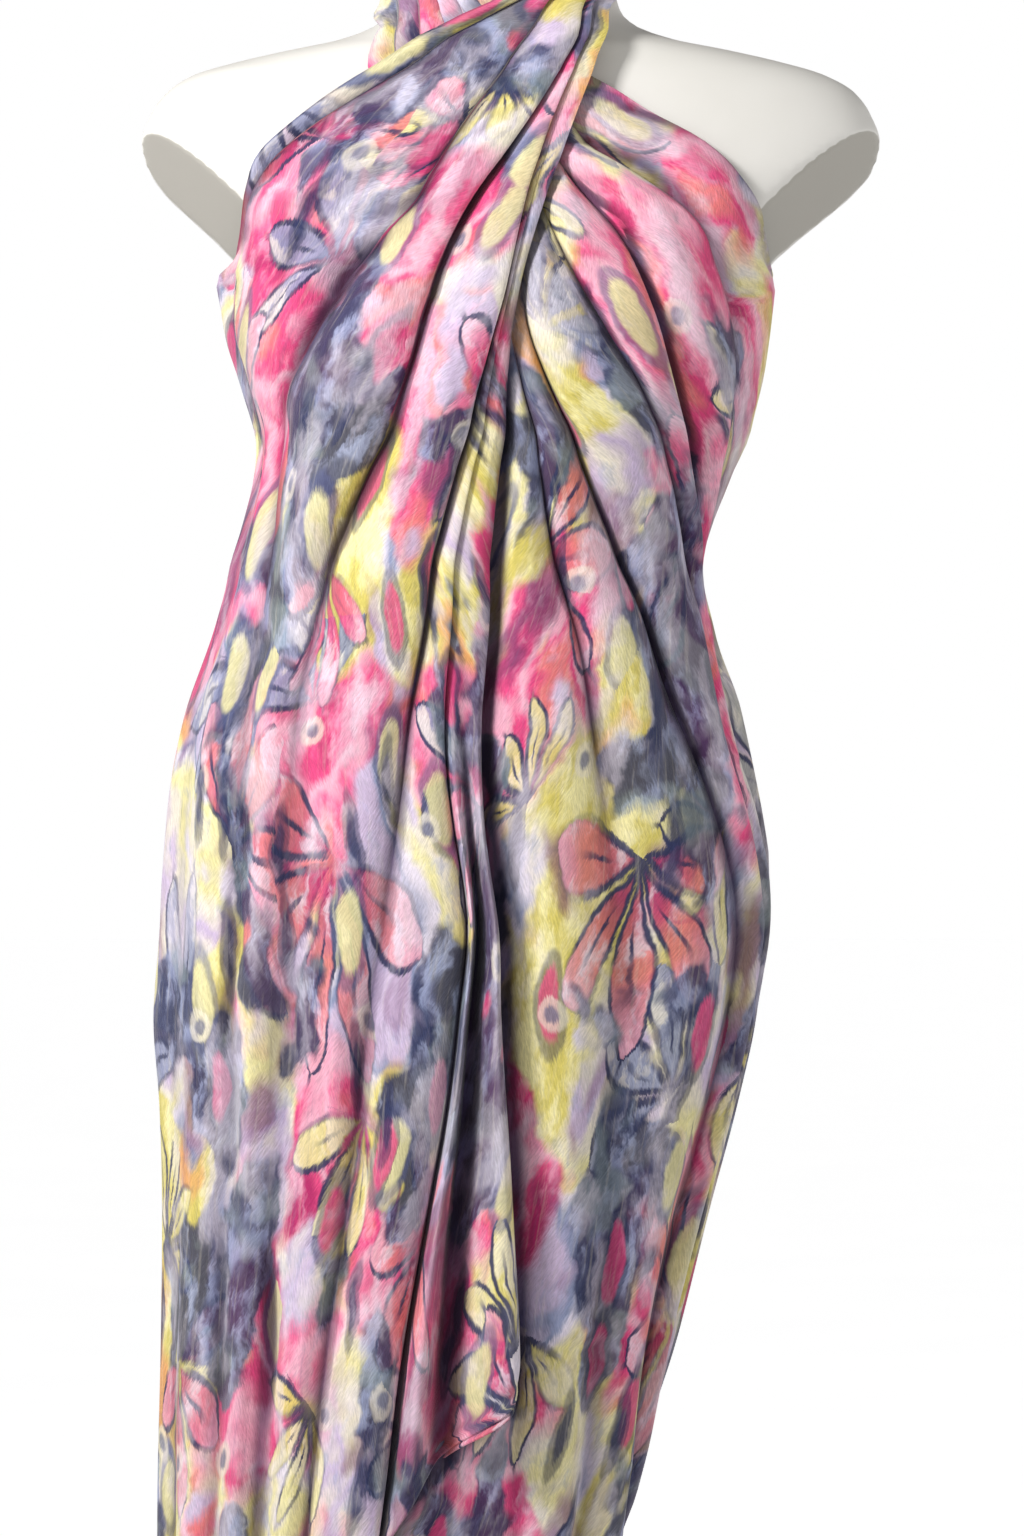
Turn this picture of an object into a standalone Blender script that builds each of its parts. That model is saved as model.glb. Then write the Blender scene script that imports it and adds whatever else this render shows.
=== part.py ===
"""Batik sarong worn as a halter wrap on a limbless dress form with a floor stand.

The tables are in millimetres and degrees. X runs to the right as seen from the front, Y to the back and
Z up. The stand's pole is the Z axis and the floor is Z = 0. Angles go round the body from the front (0),
positive to the right, so that the sides are at -90 and 90 and the back is at 180.
"""

import math

import bmesh
import bpy
import numpy as np

MM = 0.001
WALL = 1.5
SEAM = 0.6
EASE = 4.6
SQUARENESS = 2.4
NONE = math.nan
SIDE = 400

# The dress form, from the top of the neck down.
# Columns: height, centre, half width, depth to the front, depth to the back.
FORM = (
    (1540, 31, 55.0, 52, 58),
    (1500, 31, 56.0, 51, 61),
    (1465, 31, 58.0, 51, 64),
    (1445, 31, 61.0, 53, 66),
    (1432, 31, 65.0, 55, 68),
    (1424, 31, 74.0, 57, 70),
    (1416, 32, 96.0, 59, 71),
    (1410, 33, 126.0, 61, 72),
    (1404, 33, 153.0, 62, 73),
    (1397, 33, 177.0, 64, 74),
    (1388, 34, 192.0, 67, 76),
    (1376, 34, 201.0, 71, 79),
    (1360, 34, 206.5, 77, 82),
    (1346, 34, 204.0, 82, 85),
    (1332, 33, 194.0, 87, 88),
    (1316, 32, 176.0, 94, 91),
    (1302, 31, 160.0, 101, 93),
    (1290, 30, 149.0, 108, 95),
    (1275, 29, 145.0, 116, 96),
    (1255, 29, 141.0, 121, 97),
    (1230, 28, 136.0, 118, 95),
    (1195, 26, 124.0, 102, 90),
    (1150, 17, 117.0, 92, 85),
    (1115, 11, 115.0, 91, 83),
    (1080, 8, 121.0, 94, 87),
    (1020, 6, 138.0, 100, 101),
    (950, 6, 152.0, 103, 112),
    (900, 4, 156.0, 103, 114),
    (850, 1, 153.0, 101, 109),
    (800, -4, 145.0, 98, 101),
    (745, -9, 134.0, 94, 93),
)
ARMPIT = 1290
SHOULDER_TIP = 1365

# The cloth's plain outline below the armpits.
# Columns: height, left side, right side, depth to the front, depth to the back.
CLOTH = (
    (1275, -121, 179, 121, 100),
    (1250, -119, 176, 128, 101),
    (1225, -113, 172, 127, 100),
    (1198, -106, 165, 123, 98),
    (1171, -107, 153, 119, 96),
    (1144, -114, 143, 116, 94),
    (1117, -122, 138, 115, 93),
    (1091, -129, 143, 115, 95),
    (1037, -147, 157, 117, 103),
    (983, -156, 168, 118, 113),
    (929, -159, 173, 118, 118),
    (876, -162, 167, 117, 119),
    (822, -159, 155, 115, 117),
    (768, -157, 140, 113, 114),
    (700, -158, 121, 111, 111),
    (640, -158, 103, 109, 109),
    (580, -158, 87, 108, 108),
    (480, -157, 78, 108, 108),
    (380, -156, 75, 109, 109),
    (280, -156, 76, 111, 112),
    (170, -158, 80, 114, 116),
)

# Sections of the over panel from the neck to its hem. Each is a line across the panel from its top edge or
# side (outer) to its free edge, raised by its bow in the middle. The places of the creases are along X.
# Columns: outer x, outer z, the creases roll, bust, first, second, slit and inner, edge x, edge z, bow.
OVER = (
    (28, 1435, 42, 56, 76, 81, 85, 89, 93, 1435, 0),
    (-14, 1412, 1, 39, 70, 75, 79, 83, 87, 1406, 0),
    (-38, 1395, -22, 28, 57, 65, 69, 74, 79, 1386, 0),
    (-59, 1384, -48, 16, 43, 53, 58, 62, 67, 1363, 0),
    (-80, 1363, -70, -2, 28, 44, 48, 51, 55, 1338, 0),
    (-98, 1349, -90, -6, 13, 38, 42, 45, 49, 1316, 0),
    (-110, 1331, -105, -28, 1, 34, 36, 38, 40, 1285, 0),
    (-SIDE, 1290, -114, -56, -8, 27, 30, 32, 35, 1252, 0),
    (-SIDE, 1262, -116, -72, -18, 17, 22, 26, 30, 1216, 0),
    (-SIDE, 1227, -109, -87, -29, 7, 15, 21, 26, 1177, 0),
    (-SIDE, 1177, -102, -97, -47, -2, 8, 17, 25, 1132, 0),
    (-SIDE, 1143, NONE, NONE, -63, -10, 3, 13, 22, 1087, 0),
    (-SIDE, 1076, NONE, NONE, -77, -20, -2, 9, 17, 1031, 0),
    (-SIDE, 998, NONE, -115, -84, -25, 1, 10, 18, 986, 0),
    (-SIDE, 919, NONE, -120, -90, -34, 11, 16, 26, 925, 0),
    (-SIDE, 835, NONE, -124, -95, -44, 3, 10, 28, 852, 0),
    (-SIDE, 734, NONE, -125, -99, -55, -11, 3, 32, 779, 0),
    (-SIDE, 611, NONE, -128, -102, -67, -26, -1, 36, 712, 0),
    (-SIDE, 454, NONE, -128, -105, -74, -35, -2, 37, 664, 20),
    (-SIDE, 247, NONE, -128, -105, -75, -40, -2, 34, 652, 76),
)

# Sections of the under panel, from its free edge, hidden by the over panel, to its top edge or side.
# Columns: edge x, edge z, the creases start, soft, deep, side, upper and top, outer x, outer z, bow.
UNDER = (
    (-SIDE, 1435, -28, -17, -6, 4, 15, 26, 36, 1435, 0),
    (-43, 1409, -29, -15, 0, 13, 28, 41, 57, 1415, 0),
    (-43, 1381, -25, -7, 10, 27, 41, 55, 78, 1388, -4),
    (-36, 1356, -14, 7, 24, 38, 53, 68, 106, 1378, -15),
    (-24, 1328, 0, 21, 35, 46, 59, 84, 136, 1360, -7),
    (-11, 1292, 16, 32, 41, 53, 83, 122, 158, 1336, 5),
    (-3, 1252, 26, 31, 37, 68, 103, 140, 172, 1312, 0),
    (0, 1210, 28, 37, 49, 88, 115, 152, SIDE, 1290, 0),
    (0, 1160, 27, 46, 65, 105, 124, 158, SIDE, 1244, 0),
    (-1, 1110, 25, 55, 81, 116, 131, 148, SIDE, 1194, 0),
    (-2, 1059, 21, 65, 96, 127, NONE, NONE, SIDE, 1143, 0),
    (-4, 1009, 17, 72, 110, 131, NONE, NONE, SIDE, 1104, 0),
    (-7, 958, 16, 80, 124, NONE, NONE, NONE, SIDE, 1054, 0),
    (-10, 891, 25, 87, 147, NONE, NONE, NONE, SIDE, 992, 0),
    (-14, 830, 29, 90, 158, NONE, NONE, NONE, SIDE, 919, 0),
    (-20, 768, 31, 91, 146, NONE, NONE, NONE, SIDE, 852, 0),
    (-25, 706, 35, 88, 124, NONE, NONE, NONE, SIDE, 774, 0),
    (-29, 645, 36, 77, 105, NONE, NONE, NONE, SIDE, 690, 0),
    (-34, 594, 32, 66, 88, NONE, NONE, NONE, SIDE, 530, 0),
    (-37, 555, 30, 58, NONE, NONE, NONE, NONE, SIDE, 247, 30),
)

# Heights of the edges and creases over the plain outline, a row each.
# Columns: at the neck, chest, bust, waist, hip and hem, which are the sections numbered in STATIONS.
STATIONS = (0, 5, 8, 11, 14, 19)
OVER_CREASES = (
    (9, 11, 3, 0, 0, 0),
    (7, 8, 3, 0, 0, 0),
    (8, 8, 4, 0, 0, 2),
    (9, 9, 6, 5, 3, 3),
    (9, 9, 6, 6, 5, 6),
    (9, 13, 16, 12, 5, 4),
    (9, 13, 13, 10, 4, 4),
    (9, 10, 7, 6, 9, 12),
)
UNDER_CREASES = (
    (0, 0, 0, 0, 0, 0),
    (0, 0, 0, 0, 0, 0),
    (0, 0, 3, 4, 3, 3),
    (0, 1, 0, 0, 2, 3),
    (0, 1, 4, 5, 3, 3),
    (0, 0, 0, 2, 2, 2),
    (0, 2, 1, 1, 1, 1),
    (0, 4, 1, 0, 0, 0),
)

# The folds between neighbouring creases, a row each.
# Columns: where the crest stands from crease to crease, columns of faces, rise at each of the STATIONS.
OVER_FOLDS = (
    (0.50, 4, 5, 5, 3, 2, 3, 8),
    (0.55, 6, 5, 7, 6, 3, 3, 9),
    (0.70, 6, 5, 12, 13, 10, 6, 10),
    (0.68, 6, 3, 11, 16, 13, 8, 11),
    (0.60, 5, 0, 2, 3, 6, 9, 15),
    (0.40, 4, 0, 0, 0, 0, 8, 17),
    (0.75, 4, 0, 0, 0, 0, 7, 15),
)
UNDER_FOLDS = (
    (0.50, 3, 4, 0, 0, 0, 0, 0),
    (0.50, 4, 4, 0, 7, 10, 9, 8),
    (0.50, 4, 4, 1, 9, 11, 9, 11),
    (0.40, 5, 4, 7, 16, 16, 12, 10),
    (0.55, 4, 4, 10, 10, 6, 4, 9),
    (0.50, 4, 4, 12, 12, 4, 4, 9),
    (0.50, 4, 4, 8, 8, 3, 3, 8),
)
FREE_OF_RIM = 14
OVER_ROWS = 34
UNDER_ROWS = 30

# Soft flutes of the back panel.
# Columns: angle, half width in degrees, depth at the top, waist, hip and hem.
FLUTES = (
    (108, 12, 2, 7, 5, 16),
    (135, 14, 4, 11, 8, 24),
    (161, 11, 2, 8, 6, 17),
    (188, 14, 4, 13, 9, 26),
    (217, 12, 2, 9, 6, 19),
    (245, 13, 3, 9, 7, 23),
)
FLUTE_HEIGHTS = (1290, 1117, 900, 170)
BACK_COLUMNS = 34
BACK_ROWS = 18
BACK_TOP_SIDE = 1290
BACK_TOP_CENTRE = 1282
HEM_SIDE = 247
HEM_CENTRE = 172

# The straps, from the front of the neck to the nape.
# Columns: angle and height of the edge at the throat, angle and height of the edge at the shoulder.
LEFT_STRAP = (
    (5, 1436.2, -90, 1436.2),
    (-22, 1463, -100, 1441),
    (-58, 1486, -118, 1448),
    (-100, 1496, -138, 1453),
    (-140, 1496, -155, 1455),
    (-165, 1492, -166, 1456),
)
RIGHT_STRAP = (
    (-3, 1436.2, 66, 1436.2),
    (20, 1463, 90, 1443),
    (57, 1486, 112, 1449),
    (99, 1496, 135, 1453),
    (139, 1496, 154, 1455),
    (165, 1492, 166, 1456),
)
STRAP_ROWS = 10
STRAP_COLUMNS = 2
STRAP_END_HEIGHT = -2.6
STRAP_END_RISE = 3.0

# The knot and the two tails below it.
KNOT_CENTRE = (31, 76, 1474)
KNOT_HALF = (18.0, 12.0, 22.0)
KNOT_WRAP = 1.6
# Columns of the tails: height, angle, half width, distance off the plain outline.
LEFT_TAIL = (
    (1450.9, -171, 9, 7),
    (1435, -168, 14, 9),
    (1405, -163, 22, 9),
    (1370, -160, 27, 7),
    (1335, -158, 31, 6),
    (1318, -157, 32, 7),
)
RIGHT_TAIL = (
    (1450.7, 171, 9, 7),
    (1436, 168, 13, 10),
    (1410, 164, 19, 10),
    (1382, 161, 24, 8),
    (1356, 159, 28, 7),
    (1340, 158, 29, 8),
)
TAIL_ROWS = 7
TAIL_FOLDS = 3
TAIL_RISE = 4.0

# The stand.
BASE_RADIUS = 190
BASE_THICKNESS = 8
BASE_EDGE = 3
POLE_RADIUS = 12.5
COLLAR_RADIUS = 24
COLLAR_HEIGHT = 42
PLATE_RADIUS = 55
PLATE_THICKNESS = 8
CLEAR = 0.3
CAP_HEIGHT = 12
FORM_AROUND = 32

# Colours as linear red, green and blue.
CLOTH_COLOUR = (0.52, 0.24, 0.36, 1.0)
FORM_COLOUR = (0.80, 0.78, 0.74, 1.0)
METAL_COLOUR = (0.62, 0.62, 0.63, 1.0)


def clear_scene():
    """Remove whatever the scene holds."""
    for item in list(bpy.data.objects):
        bpy.data.objects.remove(item, do_unlink=True)


def cubic(knots, values, at):
    """Read the columns of values at the places `at`, with a cubic through the rows that never overshoots."""
    knots = np.asarray(knots, float)
    values = np.asarray(values, float).reshape(len(knots), -1)
    at = np.asarray(at, float)
    step = np.diff(knots)
    slope = np.diff(values, axis=0) / step[:, None]
    product = slope[:-1] * slope[1:]
    total = np.where(product > 0, slope[:-1] + slope[1:], 1.0)
    inner = np.where(product > 0, 2 * product / total, 0.0)
    tangent = np.vstack([slope[:1], inner, slope[-1:]])
    index = np.clip(np.searchsorted(knots, at, side="right") - 1, 0, len(knots) - 2)
    length = step[index][:, None]
    t = np.clip((at - knots[index])[:, None] / length, 0, 1)
    low, high = values[index], values[index + 1]
    blend = t * t * (3 - 2 * t)
    start = t * (1 - t) ** 2 * length * tangent[index]
    end = t * t * (t - 1) * length * tangent[index + 1]
    return low + (high - low) * blend + start + end


def outline_table():
    """The cloth's plain outline from the neck to the hem: height, centre, half width, front and back."""
    upper = []
    for z, centre, half, front, back in FORM:
        if z >= ARMPIT:
            lift = EASE if z > SHOULDER_TIP else 0
            upper.append((z + lift, centre, half + EASE, front + EASE, back + EASE))
    lower = [(z, (left + right) / 2, (right - left) / 2, f, b) for z, left, right, f, b in CLOTH]
    return np.array(upper + lower, float)[::-1]


OUTLINE = outline_table()
FORM_TABLE = np.array(FORM, float)[::-1]


def section(table, z):
    """Centre, half width, front and back of the table's outline at the heights z."""
    z = np.asarray(z, float)
    values = cubic(table[:, 0], table[:, 1:], z.ravel())
    return [column.reshape(z.shape) for column in values.T]


def radius(table, angle, z):
    """Distance from the section's centre to its outline, a superellipse with its own front and back."""
    _, half, front, back = section(table, z)
    depth = np.where(np.cos(angle) > 0, front, back)
    wide = np.abs(np.sin(angle) / half) ** SQUARENESS
    deep = np.abs(np.cos(angle) / depth) ** SQUARENESS
    return (wide + deep) ** (-1 / SQUARENESS)


def front_angle(x, z):
    """Angle round the body at which the front of the cloth's outline passes x. Beyond a side, that side."""
    centre, half, front, _ = section(OUTLINE, z)
    across = np.clip((x - centre) / half, -1, 1)
    forward = front * (1 - np.abs(across) ** SQUARENESS) ** (1 / SQUARENESS)
    return np.arctan2(across * half, forward)


def place(table, angle, z, height):
    """Points at the given angles and heights z, raised by height from the table's outline."""
    centre = section(table, z)[0]
    reach = radius(table, angle, z) + height
    x = centre + reach * np.sin(angle)
    y = -reach * np.cos(angle)
    return np.stack([x, y, z + 0 * angle], axis=-1)


def clipped(x, z):
    """x, kept within the cloth's outline at height z."""
    centre, half, _, _ = section(OUTLINE, z)
    return np.clip(x, centre - half, centre + half)


def fill_evenly(values):
    """Space the unnamed places of each row evenly between their neighbours."""
    filled = values.copy()
    number = np.arange(values.shape[1])
    for row in filled:
        known = ~np.isnan(row)
        row[:] = np.interp(number, number[known], row[known])
    return filled


def panel_lines(start_x, start_z, creases, end_x, end_z, bow):
    """Angles and heights of all the lines of a panel, one row a section."""
    start_x = clipped(start_x, start_z)
    end_x = clipped(end_x, end_z)
    x = np.column_stack([start_x, creases, end_x])
    share = (x - start_x[:, None]) / (end_x - start_x)[:, None]
    z = start_z[:, None] + (end_z - start_z)[:, None] * share + (bow[:, None] * 4 * share * (1 - share))
    angle = front_angle(np.where(np.isnan(x), 0, x), np.where(np.isnan(z), 1000, z))
    angle = np.where(np.isnan(x), NONE, angle)
    return fill_evenly(angle), fill_evenly(z)


def over_lines():
    """Lines of the over panel, from its top edge and side to its free edge."""
    rows = np.array(OVER, float)
    return panel_lines(rows[:, 0], rows[:, 1], rows[:, 2:8], rows[:, 8], rows[:, 9], rows[:, 10])


def under_lines():
    """Lines of the under panel, from its hidden free edge to its top edge and side."""
    rows = np.array(UNDER, float)
    return panel_lines(rows[:, 0], rows[:, 1], rows[:, 2:8], rows[:, 8], rows[:, 9], rows[:, 10])


def fold_shares(folds):
    """For each column of faces: the number of its fold, and its place across that fold from 0 to 1."""
    fold, share = [], []
    for number, row in enumerate(folds):
        count = row[1]
        fold += [number] * count
        share += [step / count for step in range(count)]
    fold.append(len(folds) - 1)
    share.append(1.0)
    return np.array(fold), np.array(share)


def across_lines(lines, fold, share):
    """Values between neighbouring lines, straight from one to the next."""
    return lines[:, fold] * (1 - share) + lines[:, fold + 1] * share


def fold_heights(creases, rises, folds, fold, share):
    """Heights across the folds: a soft curve through the creases, and a round crest between them."""
    number = np.arange(creases.shape[1])
    carried = cubic(number, creases.T, fold + share).T
    crest = np.array([row[0] for row in folds])[fold]
    before = np.sin(np.pi / 2 * np.clip(share / crest, 0, 1))
    after = np.sin(np.pi / 2 * np.clip((1 - share) / (1 - crest), 0, 1))
    return carried + rises[:, fold] * np.minimum(before, after)


def station_rows(table, at):
    """Rows of a crease or fold table, read at the sections `at`."""
    return cubic(STATIONS, np.array(table, float).T, at)


def beneath_over(points):
    """0 beneath the over panel and at its rim, rising to 1 at FREE_OF_RIM beside it."""
    rows = np.array(OVER, float)
    x, z = points[..., 0], points[..., 2]
    outer_x = clipped(rows[:, 0], rows[:, 1])
    outer = np.interp(z, rows[::-1, 1], outer_x[::-1])
    edge = np.interp(z, rows[::-1, 9], rows[::-1, 8])
    beside = np.maximum(outer - x, x - edge)
    share = np.clip(beside / FREE_OF_RIM, 0, 1)
    return share * share * (3 - 2 * share)


def over_points():
    """Outer points of the over panel."""
    at = np.linspace(0, len(OVER) - 1, OVER_ROWS + 1)
    angle, z = [cubic(range(len(OVER)), lines, at) for lines in over_lines()]
    fold, share = fold_shares(OVER_FOLDS)
    rises = station_rows([row[2:] for row in OVER_FOLDS], at)
    height = fold_heights(station_rows(OVER_CREASES, at), rises, OVER_FOLDS, fold, share)
    return place(OUTLINE, across_lines(angle, fold, share), across_lines(z, fold, share), height)


def under_points():
    """Outer points of the under panel, which lies plain where the over panel covers it."""
    at = np.linspace(0, len(UNDER) - 1, UNDER_ROWS + 1)
    angle, z = [cubic(range(len(UNDER)), lines, at) for lines in under_lines()]
    fold, share = fold_shares(UNDER_FOLDS)
    rises = station_rows([row[2:] for row in UNDER_FOLDS], at)
    height = fold_heights(station_rows(UNDER_CREASES, at), rises, UNDER_FOLDS, fold, share)
    angle = across_lines(angle, fold, share)
    z = across_lines(z, fold, share)
    free = beneath_over(place(OUTLINE, angle, z, 0))
    return place(OUTLINE, angle, z, height * free)


def back_points():
    """Outer points of the back panel: soft flutes that deepen to the hem."""
    angle = np.radians(np.linspace(90, 270, BACK_COLUMNS + 1))[None, :]
    round_back = np.sin(angle - math.pi / 2)
    top = BACK_TOP_SIDE + (BACK_TOP_CENTRE - BACK_TOP_SIDE) * round_back
    hem = HEM_SIDE + (HEM_CENTRE - HEM_SIDE) * round_back
    down = np.linspace(0, 1, BACK_ROWS + 1)[:, None]
    z = top + (hem - top) * down
    height = np.zeros_like(z)
    for flute in FLUTES:
        away = (np.degrees(angle) - flute[0]) / flute[1]
        depth = cubic(FLUTE_HEIGHTS[::-1], flute[:1:-1], z.ravel()).reshape(z.shape)
        height += depth * np.exp(-away * away)
    at_side = np.clip(np.minimum(np.degrees(angle) - 90, 270 - np.degrees(angle)) / 12, 0, 1)
    points = place(OUTLINE, angle + 0 * z, z, height * at_side)
    points[..., 1] += SEAM
    return points


def strap_points(stations, lines, creases, folds, throat_first):
    """Outer points of a strap: the folds of its panel, carried up and round the neck to the nape."""
    at = np.linspace(0, len(stations) - 1, STRAP_ROWS + 1)
    throat, throat_z, shoulder, shoulder_z = cubic(range(len(stations)), stations, at).T
    share_of_line = (lines[0] - lines[0][0]) / (lines[0][-1] - lines[0][0])
    first, last = (throat, shoulder) if throat_first else (shoulder, throat)
    first_z, last_z = (throat_z, shoulder_z) if throat_first else (shoulder_z, throat_z)
    angle = np.radians(first[:, None] + (last - first)[:, None] * share_of_line)
    z = first_z[:, None] + (last_z - first_z)[:, None] * share_of_line
    down = np.clip(at / at[-1], 0, 1)[:, None]
    fold, share = fold_shares([(row[0], STRAP_COLUMNS) for row in folds])
    start_creases = np.array([row[0] for row in creases])[None, :]
    start_rises = np.array([row[2] for row in folds])[None, :]
    crease_rows = start_creases + (STRAP_END_HEIGHT - start_creases) * down
    rise_rows = start_rises + (STRAP_END_RISE - start_rises) * down
    height = fold_heights(crease_rows, rise_rows, folds, fold, share)
    return place(OUTLINE, across_lines(angle, fold, share), across_lines(z, fold, share), height)


def tail_points(table):
    """Outer points of a tail that hangs from the knot, fluted across and widening to its tip."""
    rows = np.array(table, float)[::-1]
    z = np.linspace(rows[-1, 0], rows[0, 0], TAIL_ROWS + 1)
    angle, half_width, stand_off = cubic(rows[:, 0], rows[:, 1:], z).T
    across = np.linspace(-1, 1, TAIL_FOLDS * 4 + 1)
    reach = radius(OUTLINE, np.radians(angle), z)
    turn = np.radians(angle)[:, None] + across * (half_width / reach)[:, None]
    flutes = TAIL_RISE * np.cos(math.pi * TAIL_FOLDS * across)
    slant = 10 * np.abs(across) * np.linspace(0, 1, TAIL_ROWS + 1)[:, None]
    heights = z[:, None] + slant
    return place(OUTLINE, turn, heights, stand_off[:, None] + flutes)


def material(name, colour, roughness, metallic=0.0):
    """A Principled BSDF material."""
    result = bpy.data.materials.new(name)
    result.use_nodes = True
    shader = result.node_tree.nodes["Principled BSDF"]
    shader.inputs["Base Color"].default_value = colour
    shader.inputs["Roughness"].default_value = roughness
    shader.inputs["Metallic"].default_value = metallic
    return result


def add_mesh(name, points, faces, look, parts):
    """An object of the given points in millimetres and faces, shaded smooth."""
    mesh = bpy.data.meshes.new(name)
    mesh.from_pydata((np.asarray(points) * MM).tolist(), [], faces)
    mesh.shade_smooth()
    mesh.materials.append(look)
    item = bpy.data.objects.new(name, mesh)
    parts.objects.link(item)
    return item


def grid_faces(rows, columns):
    """Quads of a grid of points with the given numbers of rows and columns of points."""
    number = np.arange(rows * columns).reshape(rows, columns)
    corners = [number[:-1, :-1], number[1:, :-1], number[1:, 1:], number[:-1, 1:]]
    return np.stack(corners, axis=-1).reshape(-1, 4).tolist()


def add_cloth(name, points, parts):
    """A cloth wall: an open surface of points, thickened to its inner side."""
    rows, columns = points.shape[:2]
    look = material(name + "_cloth", CLOTH_COLOUR, 0.85)
    item = add_mesh(name, points.reshape(-1, 3), grid_faces(rows, columns), look, parts)
    wall = item.modifiers.new("wall", "SOLIDIFY")
    wall.thickness = WALL * MM
    wall.offset = -1
    return item


def add_torso(parts):
    """The dress form's torso with its neck and shoulder stumps, closed flat at both ends."""
    z = FORM_TABLE[::-1, 0][:, None]
    angle = np.linspace(0, 2 * math.pi, FORM_AROUND, endpoint=False)[None, :]
    points = place(FORM_TABLE, angle + 0 * z, z + 0 * angle, 0)
    rows = len(z)
    number = np.arange(rows * FORM_AROUND).reshape(rows, FORM_AROUND)
    turned = np.roll(number, -1, axis=1)
    corners = [number[:-1], number[1:], turned[1:], turned[:-1]]
    faces = np.stack(corners, axis=-1).reshape(-1, 4).tolist()
    faces.append(number[0].tolist())
    faces.append(number[-1][::-1].tolist())
    add_mesh("form_torso", points.reshape(-1, 3), faces, material("form_shell", FORM_COLOUR, 0.5), parts)


def add_turned(name, profile, centre, look, parts, steps=32):
    """A turned piece: a profile of (radius, z), top to bottom, screwed round an upright axis."""
    mesh = bpy.data.meshes.new(name)
    points = [(r * MM, 0, z * MM) for r, z in profile]
    mesh.from_pydata(points, [(i, i + 1) for i in range(len(points) - 1)], [])
    mesh.materials.append(look)
    item = bpy.data.objects.new(name, mesh)
    item.location = (centre[0] * MM, centre[1] * MM, 0)
    parts.objects.link(item)
    turn = item.modifiers.new("turn", "SCREW")
    turn.steps = steps
    turn.render_steps = steps
    turn.use_merge_vertices = True
    turn.merge_threshold = 0.00001
    turn.use_smooth_shade = True
    return item


def add_stand(parts):
    """Neck cap, under-plate, pole with its collar, and the round floor base."""
    metal = material("stand_metal", METAL_COLOUR, 0.35, 1.0)
    white = material("cap_shell", FORM_COLOUR, 0.5)
    top = FORM[0][0] + CLEAR
    cap = ((0, top + CAP_HEIGHT), (30, top + CAP_HEIGHT - 2), (46, top + 7), (52, top + 2), (51, top), (0, top))
    add_turned("neck_cap", cap, (31, 3), white, parts)
    bottom = FORM[-1][0] - CLEAR
    plate = ((0, bottom), (PLATE_RADIUS, bottom), (PLATE_RADIUS, bottom - PLATE_THICKNESS),
             (0, bottom - PLATE_THICKNESS))
    add_turned("form_plate", plate, (0, 0), metal, parts)
    pole_top = bottom - PLATE_THICKNESS - CLEAR
    foot = BASE_THICKNESS + CLEAR
    pole = ((0, pole_top), (POLE_RADIUS, pole_top), (POLE_RADIUS, foot), (0, foot))
    add_turned("pole", pole, (0, 0), metal, parts, steps=20)
    inside = POLE_RADIUS + CLEAR
    collar = ((inside, foot + COLLAR_HEIGHT), (inside + 4, foot + COLLAR_HEIGHT), (COLLAR_RADIUS, foot + 5),
              (COLLAR_RADIUS, foot), (inside, foot), (inside, foot + COLLAR_HEIGHT))
    add_turned("pole_collar", collar, (0, 0), metal, parts, steps=20)
    edge = BASE_RADIUS - BASE_EDGE
    base = ((0, BASE_THICKNESS), (edge, BASE_THICKNESS), (BASE_RADIUS, BASE_THICKNESS - BASE_EDGE),
            (BASE_RADIUS, 0), (0, 0))
    add_turned("floor_base", base, (0, 0), metal, parts, steps=48)


def add_knot(parts):
    """The nape knot: a rounded lump with the wraps of the two corners round it."""
    shape = bmesh.new()
    bmesh.ops.create_uvsphere(shape, u_segments=16, v_segments=10, radius=1)
    for point in shape.verts:
        x, y, z = point.co
        wrap = math.sin(3 * math.atan2(z, x) + 2.2 * y) * (1 - y * y)
        size = [half + KNOT_WRAP * wrap for half in KNOT_HALF]
        size[0] = KNOT_HALF[0]
        point.co = [(c + s * v) * MM for c, s, v in zip(KNOT_CENTRE, size, (x, y, z))]
    mesh = bpy.data.meshes.new("nape_knot")
    shape.to_mesh(mesh)
    shape.free()
    mesh.shade_smooth()
    mesh.materials.append(material("nape_knot_cloth", CLOTH_COLOUR, 0.85))
    parts.objects.link(bpy.data.objects.new("nape_knot", mesh))


def main():
    """Build every piece."""
    clear_scene()
    parts = bpy.data.collections.new("batik_sarong")
    bpy.context.scene.collection.children.link(parts)
    add_torso(parts)
    add_stand(parts)
    add_cloth("over_panel", over_points(), parts)
    add_cloth("under_panel", under_points(), parts)
    add_cloth("back_panel", back_points(), parts)
    over_at_neck = over_lines()[0]
    under_at_neck = under_lines()[0]
    add_cloth("right_strap", strap_points(RIGHT_STRAP, over_at_neck, OVER_CREASES, OVER_FOLDS, True), parts)
    add_cloth("left_strap", strap_points(LEFT_STRAP, under_at_neck, UNDER_CREASES, UNDER_FOLDS, False), parts)
    add_knot(parts)
    add_cloth("left_tail", tail_points(LEFT_TAIL), parts)
    add_cloth("right_tail", tail_points(RIGHT_TAIL), parts)


main()
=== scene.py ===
import math

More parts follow.
